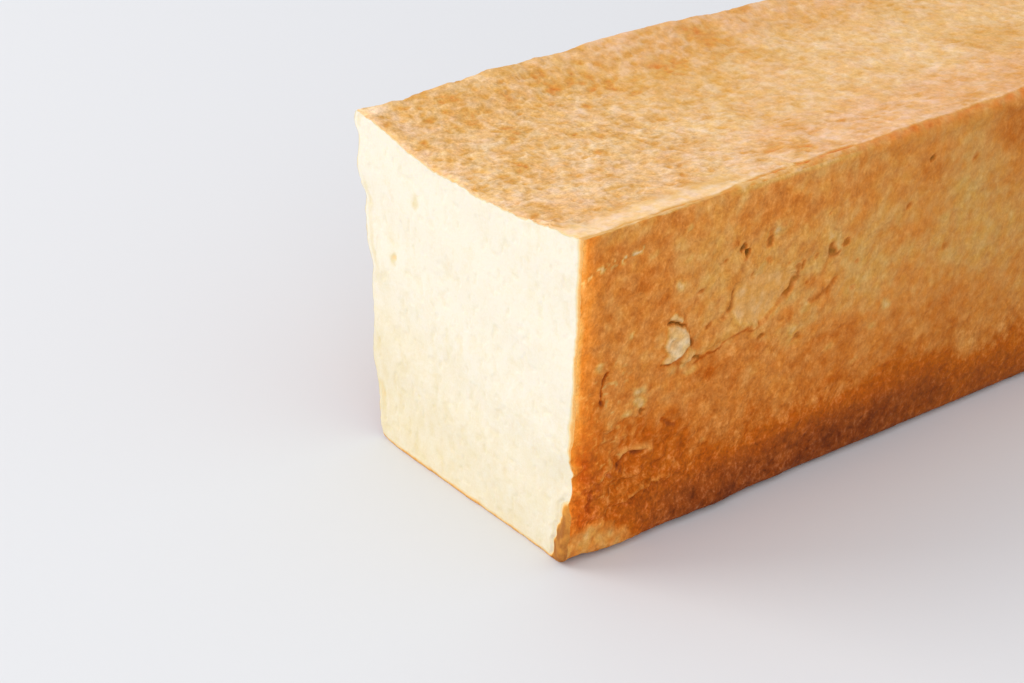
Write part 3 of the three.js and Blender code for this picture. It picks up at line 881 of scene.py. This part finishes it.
def crust_coarseness(name, x, along, z, face_z):
    """How strongly the fine grain shows, from 0 to 1: most beside the cut and low on the walls."""
    top = upness(face_z)
    on_top = 0.72 - 0.3 * smooth(along, 40, 120) - 0.42 * pale_band(x, along)
    near_cut = smooth(along, 70, 30)
    on_walls = 0.75 - 0.25 * smooth(along, 60, 160)
    on_walls = on_walls + (0.3 + 0.15 * near_cut) * smooth(z, 45, 15)
    if name == "right":
        on_walls = on_walls * (1 - 0.4 * patch(along, z, PALE_ROLL))
        on_walls = on_walls * (1 - 0.2 * tears(along, z)[0])
    return on_top * top + on_walls * (1 - top)


def crust_tear_and_rim_shade(name, along, z):
    """Where torn or stuck skin shows sallow dough, not browned crust, and where painted
    shade darkens the rims of the tears and the burst bubbles, from 0 to 1.
    """
    if name != "right":
        return np.zeros(np.broadcast(along, z).shape)
    scar, flake, tongue = tears(along, z)
    torn = np.maximum(np.maximum(0.6 * scar, flake), 0.7 * tongue)
    return np.clip(np.maximum(torn, tear_rims(along, z) * smooth(z, 38, 52)), 0, 1)


def crust_glow(name, x, along, z):
    """Where light comes through the thin crust at the cut, from 0 to 1."""
    uneven = 1.5 * lumps(x, 0, z, 14) + lumps(x, along, z, 3)
    if name == "right":
        reach = 8 + 5 * smooth(z, 70, 30) + 2 * uneven
        above_roll = 1 - 0.8 * patch(along, z, PALE_ROLL)
        return smooth(along, 1.2 * reach, 0.1 * reach) * above_roll
    strength = {"left": 0.6, "top": 0.3, "base": 0.3}[name]
    return strength * smooth(along, 3 + uneven, 0)


def crust_rosiness(x, along, face_z):
    """How rosy the top is, from 0 to 1: most towards its edges, away from the cut."""
    by_edges = smooth(x, 10, 40) + smooth(x, -30, -50)
    rosy = 0.2 + 0.2 * smooth(x, 5, 35) - 0.3 * pale_band(x, along)
    rosy = rosy + 0.4 * smooth(along, 65, 110) * by_edges
    rosy = rosy + 0.35 * lumps(x, along, 21, 2.2) + 0.2 * lumps(x, along, 22, 7)
    return np.clip(rosy, 0, 1) * upness(face_z)


def crust_dullness(along, face_z):
    """How dull the walls baked, from 0 to 1: more and more away from the cut."""
    return smooth(along, 60, 200) * (1 - upness(face_z))


# ---- The skin: every ring of the loaf from the cut to the whole end ----

CRUST_MARKS = ("browning", "coarseness", "glow", "tear", "rosiness", "dullness")

# The knife's slow waves, and how far it dragged the crust back low down at the right.
KNIFE_WAVE = 0.25
KNIFE_PITCH = 31
KNIFE_SLANT = 0.3
KNIFE_DRAG = 0.9
DRAGGED_UP = 33
# How far the soft crumb gave way beside the knife, in hollows this wide.
CRUMB_ACROSS = 9
CRUMB_DEPTH = 0.3
# How far the knife tore the rim of the cut, and how far from the cut its tears and waves reach.
RIM_TEAR = 0.3
TEAR_REACH = 1.6
WAVE_REACH = 12


def knife_path(x, z):
    """Depth of the slow waves that the knife left, and of the crumb's give beside it."""
    waves = KNIFE_WAVE * (1 + np.sin(2 * math.pi * (z + KNIFE_SLANT * x) / KNIFE_PITCH))
    dragged = KNIFE_DRAG * smooth(x, 44, 53) * smooth(np.abs(z - DRAGGED_UP), 9, 2)
    return waves + dragged + CRUMB_DEPTH * (1 + lumps(x, 0, z, CRUMB_ACROSS)) / 2


def cut_raggedness(x, z):
    """How far the knife's edge tore the rim of the cut back into the loaf."""
    return RIM_TEAR * smooth(lumps(x, 0, z, 2.1) + 0.5 * lumps(x, 5, z, 0.9), -0.4, 1)


@lru_cache(maxsize=1)
def skin(shape):
    """Points, normals and marks of the whole skin: rows are rings, columns go round them."""
    edge_share = 1 - shape.end_edge / shape.length
    straight = edge_share * (np.arange(STEPS_ALONG + 1) / STEPS_ALONG) ** ALONG_POWER
    turn = np.arange(1, STEPS_END_EDGE + 1) / STEPS_END_EDGE * math.pi / 2
    round_edge = edge_share + shape.end_edge * np.sin(turn) / shape.length
    share = np.concatenate([straight, round_edge])[:, None]
    inset = np.concatenate([np.zeros(len(straight)), shape.end_edge * (1 - np.cos(turn))])[:, None]
    along = share * shape.length
    end_flare = (shape.top_width - shape.base_width) / 2
    middle_x, middle_z = shape.base_shift / 2, shape.height / 2
    drawn_in = 1 - inset / (shape.top_width / 2)

    points, starts = [], [0]
    marks = {name: [] for name in CRUST_MARKS}
    for index, wall in enumerate(walls(shape)):
        flat_x, flat_z, face_x, face_z = wall_points(shape, index, along)
        flat = (wall.name, flat_x, along, flat_z)
        height = crust_relief(shape, *flat, face_x, face_z)
        x = flat_x + face_x * height
        z = np.maximum(0, flat_z + face_z * height)
        y = share * (shape.length - end_flare * (1 - z / shape.height)) - shape.length / 2
        y = y + cut_raggedness(flat_x, flat_z) * smooth(along, TEAR_REACH, 0)
        y = y + knife_path(flat_x, flat_z) * smooth(along, WAVE_REACH, 0)
        x = middle_x + (x - middle_x) * drawn_in
        z = middle_z + (z - middle_z) * drawn_in
        place = np.stack([x + CENTRING[0], y + CENTRING[1], z], axis=-1)
        points.append(place[:, :-1])
        marks["browning"].append(crust_browning(shape, *flat, face_z)[:, :-1])
        marks["coarseness"].append(crust_coarseness(*flat, face_z)[:, :-1])
        marks["glow"].append(crust_glow(*flat)[:, :-1])
        marks["tear"].append(crust_tear_and_rim_shade(wall.name, along, flat_z)[:, :-1])
        marks["rosiness"].append(crust_rosiness(flat_x, along, face_z)[:, :-1])
        marks["dullness"].append(crust_dullness(along, face_z)[:, :-1])
        starts.append(starts[-1] + place.shape[1] - 1)
    points = np.concatenate(points, axis=1)
    along_step = np.gradient(points, axis=0)
    ring_step = np.roll(points, -1, axis=1) - np.roll(points, 1, axis=1)
    normals = unit(np.cross(along_step, ring_step))
    normals[-1] = (0, 1, 0)
    marks = {name: np.concatenate(parts, axis=1) for name, parts in marks.items()}
    return points, normals, marks, starts


def unit(vectors):
    """The same directions, each 1 long."""
    return vectors / np.linalg.norm(vectors, axis=-1, keepdims=True)


def wall_columns(starts, index):
    """Columns of one wall, with the next wall's first column as its last."""
    return np.arange(starts[index], starts[index + 1] + 1) % starts[-1]


# ---- The two ends, each stretched over its ring ----

def subdivided(line, pieces):
    """A line of points with each of its stretches cut into this many even pieces."""
    share = (np.arange(pieces) / pieces)[None, :, None]
    cut = line[:-1, None] * (1 - share) + line[1:, None] * share
    return np.concatenate([cut.reshape(-1, line.shape[1]), line[-1:]])


def stretched(ring, starts):
    """Coons patch over a ring: its four sides, blended across and up."""
    sides = [ring[wall_columns(starts, index)] for index in range(4)]
    across = max(len(sides[0]), len(sides[2])) - 1
    up = max(len(sides[1]), len(sides[3])) - 1
    base = subdivided(sides[0], across // (len(sides[0]) - 1))
    right = subdivided(sides[1], up // (len(sides[1]) - 1))
    top = subdivided(sides[2], across // (len(sides[2]) - 1))[::-1]
    left = subdivided(sides[3], up // (len(sides[3]) - 1))[::-1]
    u = np.linspace(0, 1, across + 1)[:, None, None]
    v = np.linspace(0, 1, up + 1)[None, :, None]
    grid = (1 - v) * base[:, None] + v * top[:, None]
    grid = grid + (1 - u) * left[None] + u * right[None]
    grid -= (1 - u) * (1 - v) * base[0] + u * (1 - v) * base[-1]
    grid -= u * v * top[-1] + (1 - u) * v * top[0]
    return grid


def rim_distances(grid):
    """How far each point of an end lies from its left, right, lower and upper border."""
    x, z = grid[..., 0], grid[..., 2]
    return np.abs(x - x[:1]), np.abs(x[-1:] - x), np.abs(z - z[:, :1]), np.abs(z[:, -1:] - z)


def border_distance(grid):
    """How far each point of an end lies from its nearest border."""
    return np.minimum.reduce(rim_distances(grid))


# The crumb's larger holes: (x, up, radius, depth), and how much painted shade darkens them inside.
CRUMB_HOLES = [(-27.5, 97.7, 3.8, 0.18), (-40.7, 72.8, 3, 0.28)]
CRUMB_HOLE_SHADE = 1.3
# The lobe of crust that rolled in over the lower right corner.
LOBE_WIDTH = 8
LOBE_HEIGHT = 25
LOBE_BULGE = 1.2
# Depth of the groove round the lobe, and where it runs, as a share of the lobe's size.
LOBE_GROOVE = 0.5
LOBE_GROOVE_AT = 1.02
# The toasted rim: (how brown, thickness) at the left, the base and the top, and at the right
# how brown, and its thickness as (up, thickness).
LEFT_RIM = (0.3, 0.6)
BASE_RIM = (0.72, 2)
TOP_RIM = (0.4, 0.6)
RIGHT_RIM_BAKE = 0.64
RIGHT_RIM = [
    (22, 0.6), (38, 0.8), (46, 3.4), (52, 4.4), (59, 3.4), (66, 2.2), (86, 2.4), (94, 3.4),
    (116, 3.4),
]
# A faint second band runs down beside the left rim.
LEFT_BAND_IN = 3
LEFT_BAND_BAKE = 0.12


def crumb_cells(x, z):
    """Open cells of the crumb, oval and upright, from 0 to 1 deep."""
    bent_x = x + 1.2 * lumps(x, 7, z, 3)
    bent_z = z + 1.2 * lumps(x, 17, z, 3)
    wide = lumps(bent_x / 2.1, 0, bent_z / 2.9, 1)
    small = lumps(bent_x, 3, bent_z / 1.4, 1)
    return smooth(wide, 0.15, 0.8) + 0.3 * smooth(small, 0.1, 0.9)


def crumb_holes(x, z, core):
    """The crumb's larger holes, each deepest inside this share of its radius."""
    return spots(*ragged(x, z, 0.9, 2.4), CRUMB_HOLES, core)


def corner_lobe(grid):
    """How far each point of the cut lies out from the lower right corner: 1 at the lobe's rim."""
    x, z = grid[..., 0], grid[..., 2]
    right = rim_distances(grid)[1]
    uneven = 0.5 * lumps(x, 3, z, 5) + 0.3 * lumps(x, 3, z, 1.5)
    return np.hypot((right + uneven) / LOBE_WIDTH, z / LOBE_HEIGHT)


def cut_depth(shape, grid):
    """Depth of the cut face's relief into the loaf."""
    x, z = grid[..., 0] - CENTRING[0], grid[..., 2]
    depth = shape.pores * crumb_cells(x, z) + crumb_holes(x, z, 0)
    lobe = corner_lobe(grid)
    depth = depth - LOBE_BULGE * smooth(lobe, 0.95, 0.4)
    return depth + LOBE_GROOVE * smooth(np.abs(lobe - LOBE_GROOVE_AT), 0.15, 0.03)


def crumb_browning(grid):
    """The cut face: pale crumb, with painted shade in its cells and holes and low down, and a rim
    toasted most at the right.
    """
    x, z = grid[..., 0] - CENTRING[0], grid[..., 2]
    # Painted shade in the cells, and low down and towards the lower left.
    brown = 0.04 * crumb_cells(x, z) + bands(x, z, CRUMB_SHADE_BANDS)
    brown += 0.035 * lumps(x / 3, 1, z / 9, 1) + 0.03 * lumps(x, 5, z, 2.6)
    # Painted shade inside the larger holes.
    brown += CRUMB_HOLE_SHADE * crumb_holes(x, z, 0.2)
    uneven = 0.4 * lumps(x, 3, z, 5) + 0.2 * lumps(x, 3, z, 1.5)
    left, right, base, top = rim_distances(grid)
    band = smooth(np.abs(left - LEFT_BAND_IN + uneven), 2, 0.3)
    brown += LEFT_BAND_BAKE * band * smooth(lumps(0, 4, z, 9), -0.3, 0.5)
    for away, (toasted, thick) in [(left, LEFT_RIM), (base, BASE_RIM), (top, TOP_RIM)]:
        brown = np.maximum(brown, toasted * smooth((away + uneven) / thick, 1, 0))
    thick = np.interp(z, *zip(*RIGHT_RIM))
    brown = np.maximum(brown, RIGHT_RIM_BAKE * smooth((right + uneven) / thick, 1, 0.25))
    # The rolled-in lobe takes the foot colour, which carries painted shade.
    in_lobe = smooth(corner_lobe(grid), 1.05, 0.85)
    lobe_brown = 0.92 - 0.12 * smooth(z, 10, 22) + 0.1 * lumps(x, 2, z, 2)
    return np.clip(brown + (lobe_brown - brown) * in_lobe, 0, 1)


def end_depth(shape, grid):
    """Depth of the whole end's hollow, and of its unevenness."""
    left, right, below, above = rim_distances(grid)
    bow = 16 * left * right * below * above / ((left + right) * (below + above)) ** 2
    uneven = shape.swell * lumps(grid[..., 0], shape.length, grid[..., 2], LUMP_ACROSS)
    return bow * (shape.end_dip + uneven)


# ---- Meshes ----

def make_piece(name, points, normals, marks, material):
    """A piece from a grid of points in millimetres, whose rows by columns turn outwards."""
    rows, columns = points.shape[:2]
    corner = np.arange(rows * columns).reshape(rows, columns)
    faces = np.stack([corner[:-1, :-1], corner[1:, :-1], corner[1:, 1:], corner[:-1, 1:]], axis=-1)
    mesh = bpy.data.meshes.new(name)
    mesh.vertices.add(rows * columns)
    mesh.vertices.foreach_set("co", (points * MM).astype(np.float32).ravel())
    count = (rows - 1) * (columns - 1)
    mesh.loops.add(4 * count)
    mesh.loops.foreach_set("vertex_index", faces.astype(np.int32).ravel())
    mesh.polygons.add(count)
    mesh.polygons.foreach_set("loop_start", np.arange(0, 4 * count, 4, dtype=np.int32))
    mesh.update(calc_edges=True)
    mesh.validate()
    mesh.shade_smooth()
    mesh.normals_split_custom_set_from_vertices(normals.reshape(-1, 3))
    for mark, values in marks.items():
        layer = mesh.attributes.new(mark, "FLOAT", "POINT")
        layer.data.foreach_set("value", values.astype(np.float32).ravel())
    mesh.materials.append(material)
    piece = bpy.data.objects.new(name, mesh)
    bpy.context.scene.collection.objects.link(piece)
    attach(piece, "root")
    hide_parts("loaf")
    return piece


# ---- Materials ----

def node(tree, kind, inputs=None, stops=(), **settings):
    """Adds a node with its settings, its inputs, as values or outputs to link, and ramp stops."""
    made = tree.nodes.new(kind)
    for key, value in settings.items():
        setattr(made, key, value)
    for key, value in (inputs or {}).items():
        if isinstance(value, bpy.types.NodeSocket):
            tree.links.new(made.inputs[key], value)
        else:
            made.inputs[key].default_value = value
    if stops:
        elements = made.color_ramp.elements
        for _ in stops[2:]:
            elements.new(1)
        for element, (place, tone) in zip(elements, stops):
            element.position = place
            element.color = (*tone, 1)
    return made


def new_material(name):
    """An empty node material, with its tree."""
    material = bpy.data.materials.new(name)
    material.use_nodes = True
    material.node_tree.nodes.clear()
    return material, material.node_tree


# Sockets of a Mix node: the two colours that it mixes, and the colour that it gives.
MIX_A = 6
MIX_B = 7
MIXED = 2

# Patterns of the crust, finest first: (millimetres across, weight in the height and so in the
# shade of the hollows, weight in the browning, detail, distortion). The finest is drawn twice as
# coarse as the real blisters of 0.3 to 0.5 mm, so that it shows.
CRUST_PATTERNS = [
    (0.9, 0.75, 0.04, 2, 0),
    (2.2, 0.9, 0.12, 3, 0.3),
    (6, 0.4, 0.22, 2, 0.5),
]
# Patterns are a little drawn out upwards, as the dough slid up the tin.
UPRIGHT = (1, 1, 0.85)
# How far across the yellower places are, and the height of the grain's bump.
STRAW_ACROSS = 4.5
GRAIN_BUMP = 0.8
# The crumb's fine web, drawn coarse enough to show, and the height of its bump. Light reaches
# CRUMB_LIGHT deep into the crumb.
WEB_ACROSS = 0.9
WEB_BUMP = 0.5
CRUMB_LIGHT = 1.5


def baked_crust():
    """Oven-baked wheat crust: dry matt skin, gold to brown, with a fine blistered grain.

    The browning mark says how far each place is baked, with painted shade and highlights in it,
    coarseness how strongly the grain shows on it, glow where light comes through the thin crust at
    the cut, tear where sallow dough shows through torn skin and where painted shade darkens the
    rims of the tears and the burst bubbles. Rosiness and dullness tint the top and the walls, and
    a slow pattern makes some places yellower. The grain paints shade in its hollows and a pale
    sheen on its crests.
    """
    look = bpy.context.scene.crust_look
    material, tree = new_material("baked_crust")
    place = node(tree, "ShaderNodeTexCoord").outputs["Object"]
    drawn_up = node(tree, "ShaderNodeVectorMath", {0: place, 1: UPRIGHT},
                    operation="MULTIPLY").outputs[0]
    mark = {}
    for name in CRUST_MARKS:
        mark[name] = node(tree, "ShaderNodeAttribute", attribute_name=name).outputs["Fac"]
    grain, baked = 0.0, mark["browning"]
    for across, in_height, in_browning, detail, distortion in CRUST_PATTERNS:
        pattern = node(tree, "ShaderNodeTexNoise", {
            "Vector": drawn_up, "Scale": 1 / (across * MM), "Detail": detail,
            "Roughness": 0.6, "Distortion": distortion,
        }).outputs["Fac"]
        centred = node(tree, "ShaderNodeMath", {0: pattern, 1: 0.5}, operation="SUBTRACT")
        coarse = node(tree, "ShaderNodeMath", {0: centred.outputs[0], 1: mark["coarseness"]},
                      operation="MULTIPLY").outputs[0]
        grain = node(tree, "ShaderNodeMath", {0: coarse, 1: in_height, 2: grain},
                     operation="MULTIPLY_ADD").outputs[0]
        baked = node(tree, "ShaderNodeMath", {0: coarse, 1: -in_browning, 2: baked},
                     operation="MULTIPLY_ADD").outputs[0]
    tone = node(tree, "ShaderNodeValToRGB", {"Fac": baked}, stops=[
        (0.0, look.dough), (0.15, look.blond), (0.3, look.wheat), (0.45, look.gold),
        (0.56, look.amber), (0.68, look.copper), (0.82, look.brown), (1.0, look.dark),
    ]).outputs["Color"]
    lit_tone = node(tree, "ShaderNodeValToRGB", {"Fac": baked}, stops=[
        (0.3, look.glow_pale), (0.55, look.glow), (0.85, look.glow_deep),
    ]).outputs["Color"]
    # The torn tone runs from torn dough to the painted shade of the tear rims and burst bubbles.
    torn_and_shade_tone = node(tree, "ShaderNodeValToRGB", {"Fac": baked}, stops=[
        (0.05, look.torn), (0.25, look.torn_dry), (0.48, look.scar), (0.75, look.shade),
        (0.95, look.pore),
    ]).outputs["Color"]
    tone = node(tree, "ShaderNodeMix", {
        "Factor": mark["glow"], MIX_A: tone, MIX_B: lit_tone,
    }, data_type="RGBA").outputs[MIXED]
    tone = node(tree, "ShaderNodeMix", {
        "Factor": mark["tear"], MIX_A: tone, MIX_B: torn_and_shade_tone,
    }, data_type="RGBA").outputs[MIXED]
    slow = node(tree, "ShaderNodeTexNoise", {
        "Vector": place, "Scale": 1 / (STRAW_ACROSS * MM), "Detail": 2,
    }).outputs["Fac"]
    yellower = node(tree, "ShaderNodeMapRange", {
        "Value": slow, "From Min": 0.38, "From Max": 0.62,
    }).outputs["Result"]
    tints = [
        (yellower, look.straw), (mark["rosiness"], look.rose), (mark["dullness"], look.dull),
    ]
    for factor, tint in tints:
        tone = node(tree, "ShaderNodeMix", {
            "Factor": factor, MIX_A: tone, MIX_B: (*tint, 1),
        }, data_type="RGBA", blend_type="MULTIPLY").outputs[MIXED]
    # Painted sheen: the crests of the grain are mixed towards a pale colour.
    painted_sheen = node(tree, "ShaderNodeMath", {0: grain, 1: 0.3, 2: -0.015},
                 operation="MULTIPLY_ADD").outputs[0]
    tone = node(tree, "ShaderNodeMix", {
        "Factor": painted_sheen, MIX_A: tone, MIX_B: (*look.bloom, 1),
    }, data_type="RGBA").outputs[MIXED]
    light = node(tree, "ShaderNodeMath", {0: grain, 1: 1.0}, operation="ADD").outputs[0]
    shaded = node(tree, "ShaderNodeVectorMath", {0: tone, "Scale": light},
                  operation="SCALE").outputs[0]
    bump = node(tree, "ShaderNodeBump", {
        "Height": grain, "Strength": 0.6, "Distance": GRAIN_BUMP * MM,
    }).outputs["Normal"]
    shader = node(tree, "ShaderNodeBsdfPrincipled", {
        "Base Color": shaded, "Normal": bump, "Roughness": look.roughness, "IOR": 1.45,
        "Specular IOR Level": 0.08,
    })
    node(tree, "ShaderNodeOutputMaterial", {"Surface": shader.outputs[0]})
    return material


def cut_crumb():
    """Knife-cut white wheat crumb: soft, matt and slightly translucent, with open cells.

    The browning mark is near 0 in the crumb, and rises over the toasted rim to the rolled-in
    crust of the corner, which the fine web mottles.
    """
    look = bpy.context.scene.crumb_look
    material, tree = new_material("cut_crumb")
    place = node(tree, "ShaderNodeTexCoord").outputs["Object"]
    browning = node(tree, "ShaderNodeAttribute", attribute_name="browning").outputs["Fac"]
    web = node(tree, "ShaderNodeTexNoise", {
        "Vector": place, "Scale": 1 / (WEB_ACROSS * MM), "Detail": 3, "Roughness": 0.65,
    }).outputs["Fac"]
    centred = node(tree, "ShaderNodeMath", {0: web, 1: 0.5}, operation="SUBTRACT")
    mottled = node(tree, "ShaderNodeMath", {0: centred.outputs[0], 1: 0.2, 2: browning},
                   operation="MULTIPLY_ADD").outputs[0]
    tone = node(tree, "ShaderNodeValToRGB", {"Fac": mottled}, stops=[
        (0.0, look.crumb), (0.25, look.cell), (0.45, look.peach), (0.72, look.rim),
        (0.95, look.foot),
    ]).outputs["Color"]
    bump = node(tree, "ShaderNodeBump", {
        "Height": web, "Strength": 0.2, "Distance": WEB_BUMP * MM,
    }).outputs["Normal"]
    shader = node(tree, "ShaderNodeBsdfPrincipled", {
        "Base Color": tone, "Normal": bump, "Roughness": look.roughness,
        "Specular IOR Level": 0.2, "Subsurface Weight": 0.25,
        "Subsurface Radius": (1, 0.75, 0.4), "Subsurface Scale": CRUMB_LIGHT * MM,
    })
    node(tree, "ShaderNodeOutputMaterial", {"Surface": shader.outputs[0]})
    return material


def painted_floor():
    """Matt pale paint on a flat board: even, with no gloss."""
    material, tree = new_material("painted_floor")
    shader = node(tree, "ShaderNodeBsdfPrincipled", {
        "Base Color": (*bpy.context.scene.studio.floor, 1), "Roughness": 0.9,
        "Specular IOR Level": 0.1,
    })
    node(tree, "ShaderNodeOutputMaterial", {"Surface": shader.outputs[0]})
    return material


def shared(name, make):
    """The material of this name, made on first use."""
    return bpy.data.materials.get(name) or make()


# ---- Studio ----

# Floor and lights, in metres. The lights are square, and both face the middle of the loaf.
FLOOR_HALF = 4.0
FLOOR_GAP = 0.0002
WINDOW_PLACE = (-1.2, -1.3, 1.3)
FILL_PLACE = (1.5, -1.2, 1.0)
LIGHT_WIDTH = 1.2
AIM_POINT = (0, 0, 0.06)
# The camera's place and the width of its sensor in millimetres, its tilt and heading in degrees.
CAMERA_PLACE = (555.857, -545.321, 419.646)
CAMERA_TILT = 62.081
CAMERA_HEADING = 53.268
SENSOR_WIDTH = 36


def make_floor():
    """A level floor just under the loaf."""
    mesh = bpy.data.meshes.new("floor")
    half = FLOOR_HALF
    corners_of_floor = [(-half, -half, 0), (half, -half, 0), (half, half, 0), (-half, half, 0)]
    mesh.from_pydata(corners_of_floor, [], [(0, 1, 2, 3)])
    mesh.materials.append(painted_floor())
    floor = bpy.data.objects.new("floor", mesh)
    floor.location.z = -FLOOR_GAP
    bpy.context.scene.collection.objects.link(floor)


def make_light(name, place, power, tint):
    """A square area light that faces the aim point."""
    lamp = bpy.data.lights.new(name, "AREA")
    lamp.size = LIGHT_WIDTH
    lamp.energy = power
    lamp.color = tint
    light = bpy.data.objects.new(name, lamp)
    x, y, z = (a - p for a, p in zip(AIM_POINT, place))
    light.location = place
    light.rotation_euler = (math.atan2(math.hypot(x, y), -z), 0, math.atan2(-x, y))
    bpy.context.scene.collection.objects.link(light)


def make_room(studio):
    """Even light from all round."""
    world = bpy.data.worlds.new("room")
    world.use_nodes = True
    background = world.node_tree.nodes["Background"]
    background.inputs["Color"].default_value = (*studio.room_tint, 1)
    background.inputs["Strength"].default_value = studio.room
    bpy.context.scene.world = world


def make_camera(studio):
    """The camera, which the scene then uses."""
    camera = bpy.data.objects.new("camera", bpy.data.cameras.new("camera"))
    camera.data.lens = studio.lens
    camera.data.sensor_width = SENSOR_WIDTH
    camera.data.sensor_fit = "HORIZONTAL"
    camera.location = [p * MM for p in CAMERA_PLACE]
    camera.rotation_euler = (math.radians(CAMERA_TILT), 0, math.radians(CAMERA_HEADING))
    bpy.context.scene.collection.objects.link(camera)
    bpy.context.scene.camera = camera


# ---- Operators ----

# Over these distances from its border the whole end's grain comes up, and its looks part from
# those of the ring.
END_GRAIN_REACH = 3
END_BLEND = 8
# Over these distances from its border the cut's cells come up, and it leaves the torn edge.
CELLS_REACH = 2.5
TORN_EDGE_REACH = 1.2


def make_wall(name):
    """The crust of the base, the right wall, the top or the left wall."""
    points, normals, marks, starts = skin(shape_in_mm())
    columns = wall_columns(starts, WALL_NAMES.index(name))
    own_marks = {mark: values[:, columns] for mark, values in marks.items()}
    crust = shared("baked_crust", baked_crust)
    make_piece(f"crust_{name}", points[:, columns], normals[:, columns], own_marks, crust)


class LOAF_OT_top(bpy.types.Operator):
    """Make the lidded top, with its curled grain, pits and pale skin"""

    bl_idname = "tin_loaf.top"
    bl_label = "Top Crust"

    def execute(self, context):
        make_wall("top")
        return {"FINISHED"}


class LOAF_OT_walls(bpy.types.Operator):
    """Make the two side walls and the base, with the right wall's scar, flake and folds"""

    bl_idname = "tin_loaf.walls"
    bl_label = "Walls and Base"

    def execute(self, context):
        for name in ("right", "left", "base"):
            make_wall(name)
        return {"FINISHED"}


class LOAF_OT_end(bpy.types.Operator):
    """Make the whole end"""

    bl_idname = "tin_loaf.end"
    bl_label = "Whole End"

    def execute(self, context):
        shape = shape_in_mm()
        points, _, ring_marks, starts = skin(shape)
        grid = stretched(points[-1], starts)
        x, z = grid[..., 0], grid[..., 2]
        to_border = border_distance(grid)
        grid[..., 1] -= end_depth(shape, grid)
        end_along = shape.length + grid[..., 1] - points[-1][:, 1].max()
        fine = fine_relief(shape, x, end_along, z, np.zeros_like(x))
        grid[..., 1] += fine * smooth(to_border, 0, END_GRAIN_REACH)
        own_marks = {
            "browning": wall_browning(shape.length + x, z),
            "coarseness": crust_coarseness("end", x, end_along, z, np.zeros_like(x)),
            "glow": np.zeros_like(x),
            "tear": np.zeros_like(x),
            "rosiness": np.zeros_like(x),
            "dullness": np.ones_like(x),
        }
        near_border = smooth(to_border, END_BLEND, 0)
        for mark, values in own_marks.items():
            ring = np.repeat(ring_marks[mark][-1][:, None], 3, axis=1)
            border = stretched(ring, starts)[..., 0]
            own_marks[mark] = (values + (border - values) * near_border).T
        normals = unit(np.cross(np.gradient(grid, axis=1), np.gradient(grid, axis=0)))
        normals[[0, -1]] = normals[:, [0, -1]] = (0, 1, 0)
        crust = shared("baked_crust", baked_crust)
        flip = (1, 0, 2)
        make_piece("crust_end", grid.transpose(flip), normals.transpose(flip), own_marks,
                   crust)
        return {"FINISHED"}


class LOAF_OT_crumb(bpy.types.Operator):
    """Make the cut face, with the crumb's cells and the toasted rim"""

    bl_idname = "tin_loaf.crumb"
    bl_label = "Cut Crumb"

    def execute(self, context):
        shape = shape_in_mm()
        points, _, _, starts = skin(shape)
        grid = stretched(points[0], starts)
        x, z = grid[..., 0] - CENTRING[0], grid[..., 2]
        to_border = border_distance(grid)
        # The knife's path is laid over the whole face and joins the crust's torn edge at the
        # border, towards which the cells fade out.
        face = CENTRING[1] - shape.length / 2 + knife_path(x, z)
        face += cut_depth(shape, grid) * smooth(to_border, 0, CELLS_REACH)
        grid[..., 1] += (face - grid[..., 1]) * smooth(to_border, 0, TORN_EDGE_REACH)
        normals = unit(np.cross(np.gradient(grid, axis=0), np.gradient(grid, axis=1)))
        marks = {"browning": crumb_browning(grid)}
        make_piece("crumb", grid, normals, marks, shared("cut_crumb", cut_crumb))
        return {"FINISHED"}


class LOAF_OT_studio(bpy.types.Operator):
    """Make the pale floor, the window and fill lights, the room's light and the camera"""

    bl_idname = "tin_loaf.studio"
    bl_label = "Studio"

    def execute(self, context):
        studio = context.scene.studio
        make_floor()
        make_light("window", WINDOW_PLACE, studio.window_power, studio.window_tint)
        make_light("fill", FILL_PLACE, studio.fill_power, studio.fill_tint)
        make_room(studio)
        make_camera(studio)
        context.scene.view_settings.view_transform = "Standard"
        return {"FINISHED"}


class LOAF_PT_panel(bpy.types.Panel):
    """Lists the loaf's settings and the buttons that make its pieces"""

    bl_label = "Tin Loaf"
    bl_idname = "LOAF_PT_panel"
    bl_space_type = "VIEW_3D"
    bl_region_type = "UI"
    bl_category = "Tin Loaf"

    def draw(self, context):
        layout = self.layout
        for name, kind in SETTINGS.items():
            box = layout.box()
            for key in kind.__annotations__:
                box.prop(getattr(context.scene, name), key)
        for kind in OPERATORS:
            layout.operator(kind.bl_idname)


SETTINGS = {
    "loaf_shape": LoafShape,
    "crust_look": CrustLook,
    "crumb_look": CrumbLook,
    "studio": Studio,
}
OPERATORS = [LOAF_OT_top, LOAF_OT_walls, LOAF_OT_end, LOAF_OT_crumb, LOAF_OT_studio]


def register():
    for kind in (*SETTINGS.values(), *OPERATORS, LOAF_PT_panel):
        bpy.utils.register_class(kind)
    for name, kind in SETTINGS.items():
        setattr(bpy.types.Scene, name, bpy.props.PointerProperty(type=kind))


def unregister():
    for name in SETTINGS:
        delattr(bpy.types.Scene, name)
    for kind in (LOAF_PT_panel, *reversed(OPERATORS), *reversed(SETTINGS.values())):
        bpy.utils.unregister_class(kind)


def main():
    register()
    bpy.ops.tin_loaf.top()
    bpy.ops.tin_loaf.walls()
    bpy.ops.tin_loaf.end()
    bpy.ops.tin_loaf.crumb()
    bpy.ops.tin_loaf.studio()


if __name__ == "__main__":
    main()
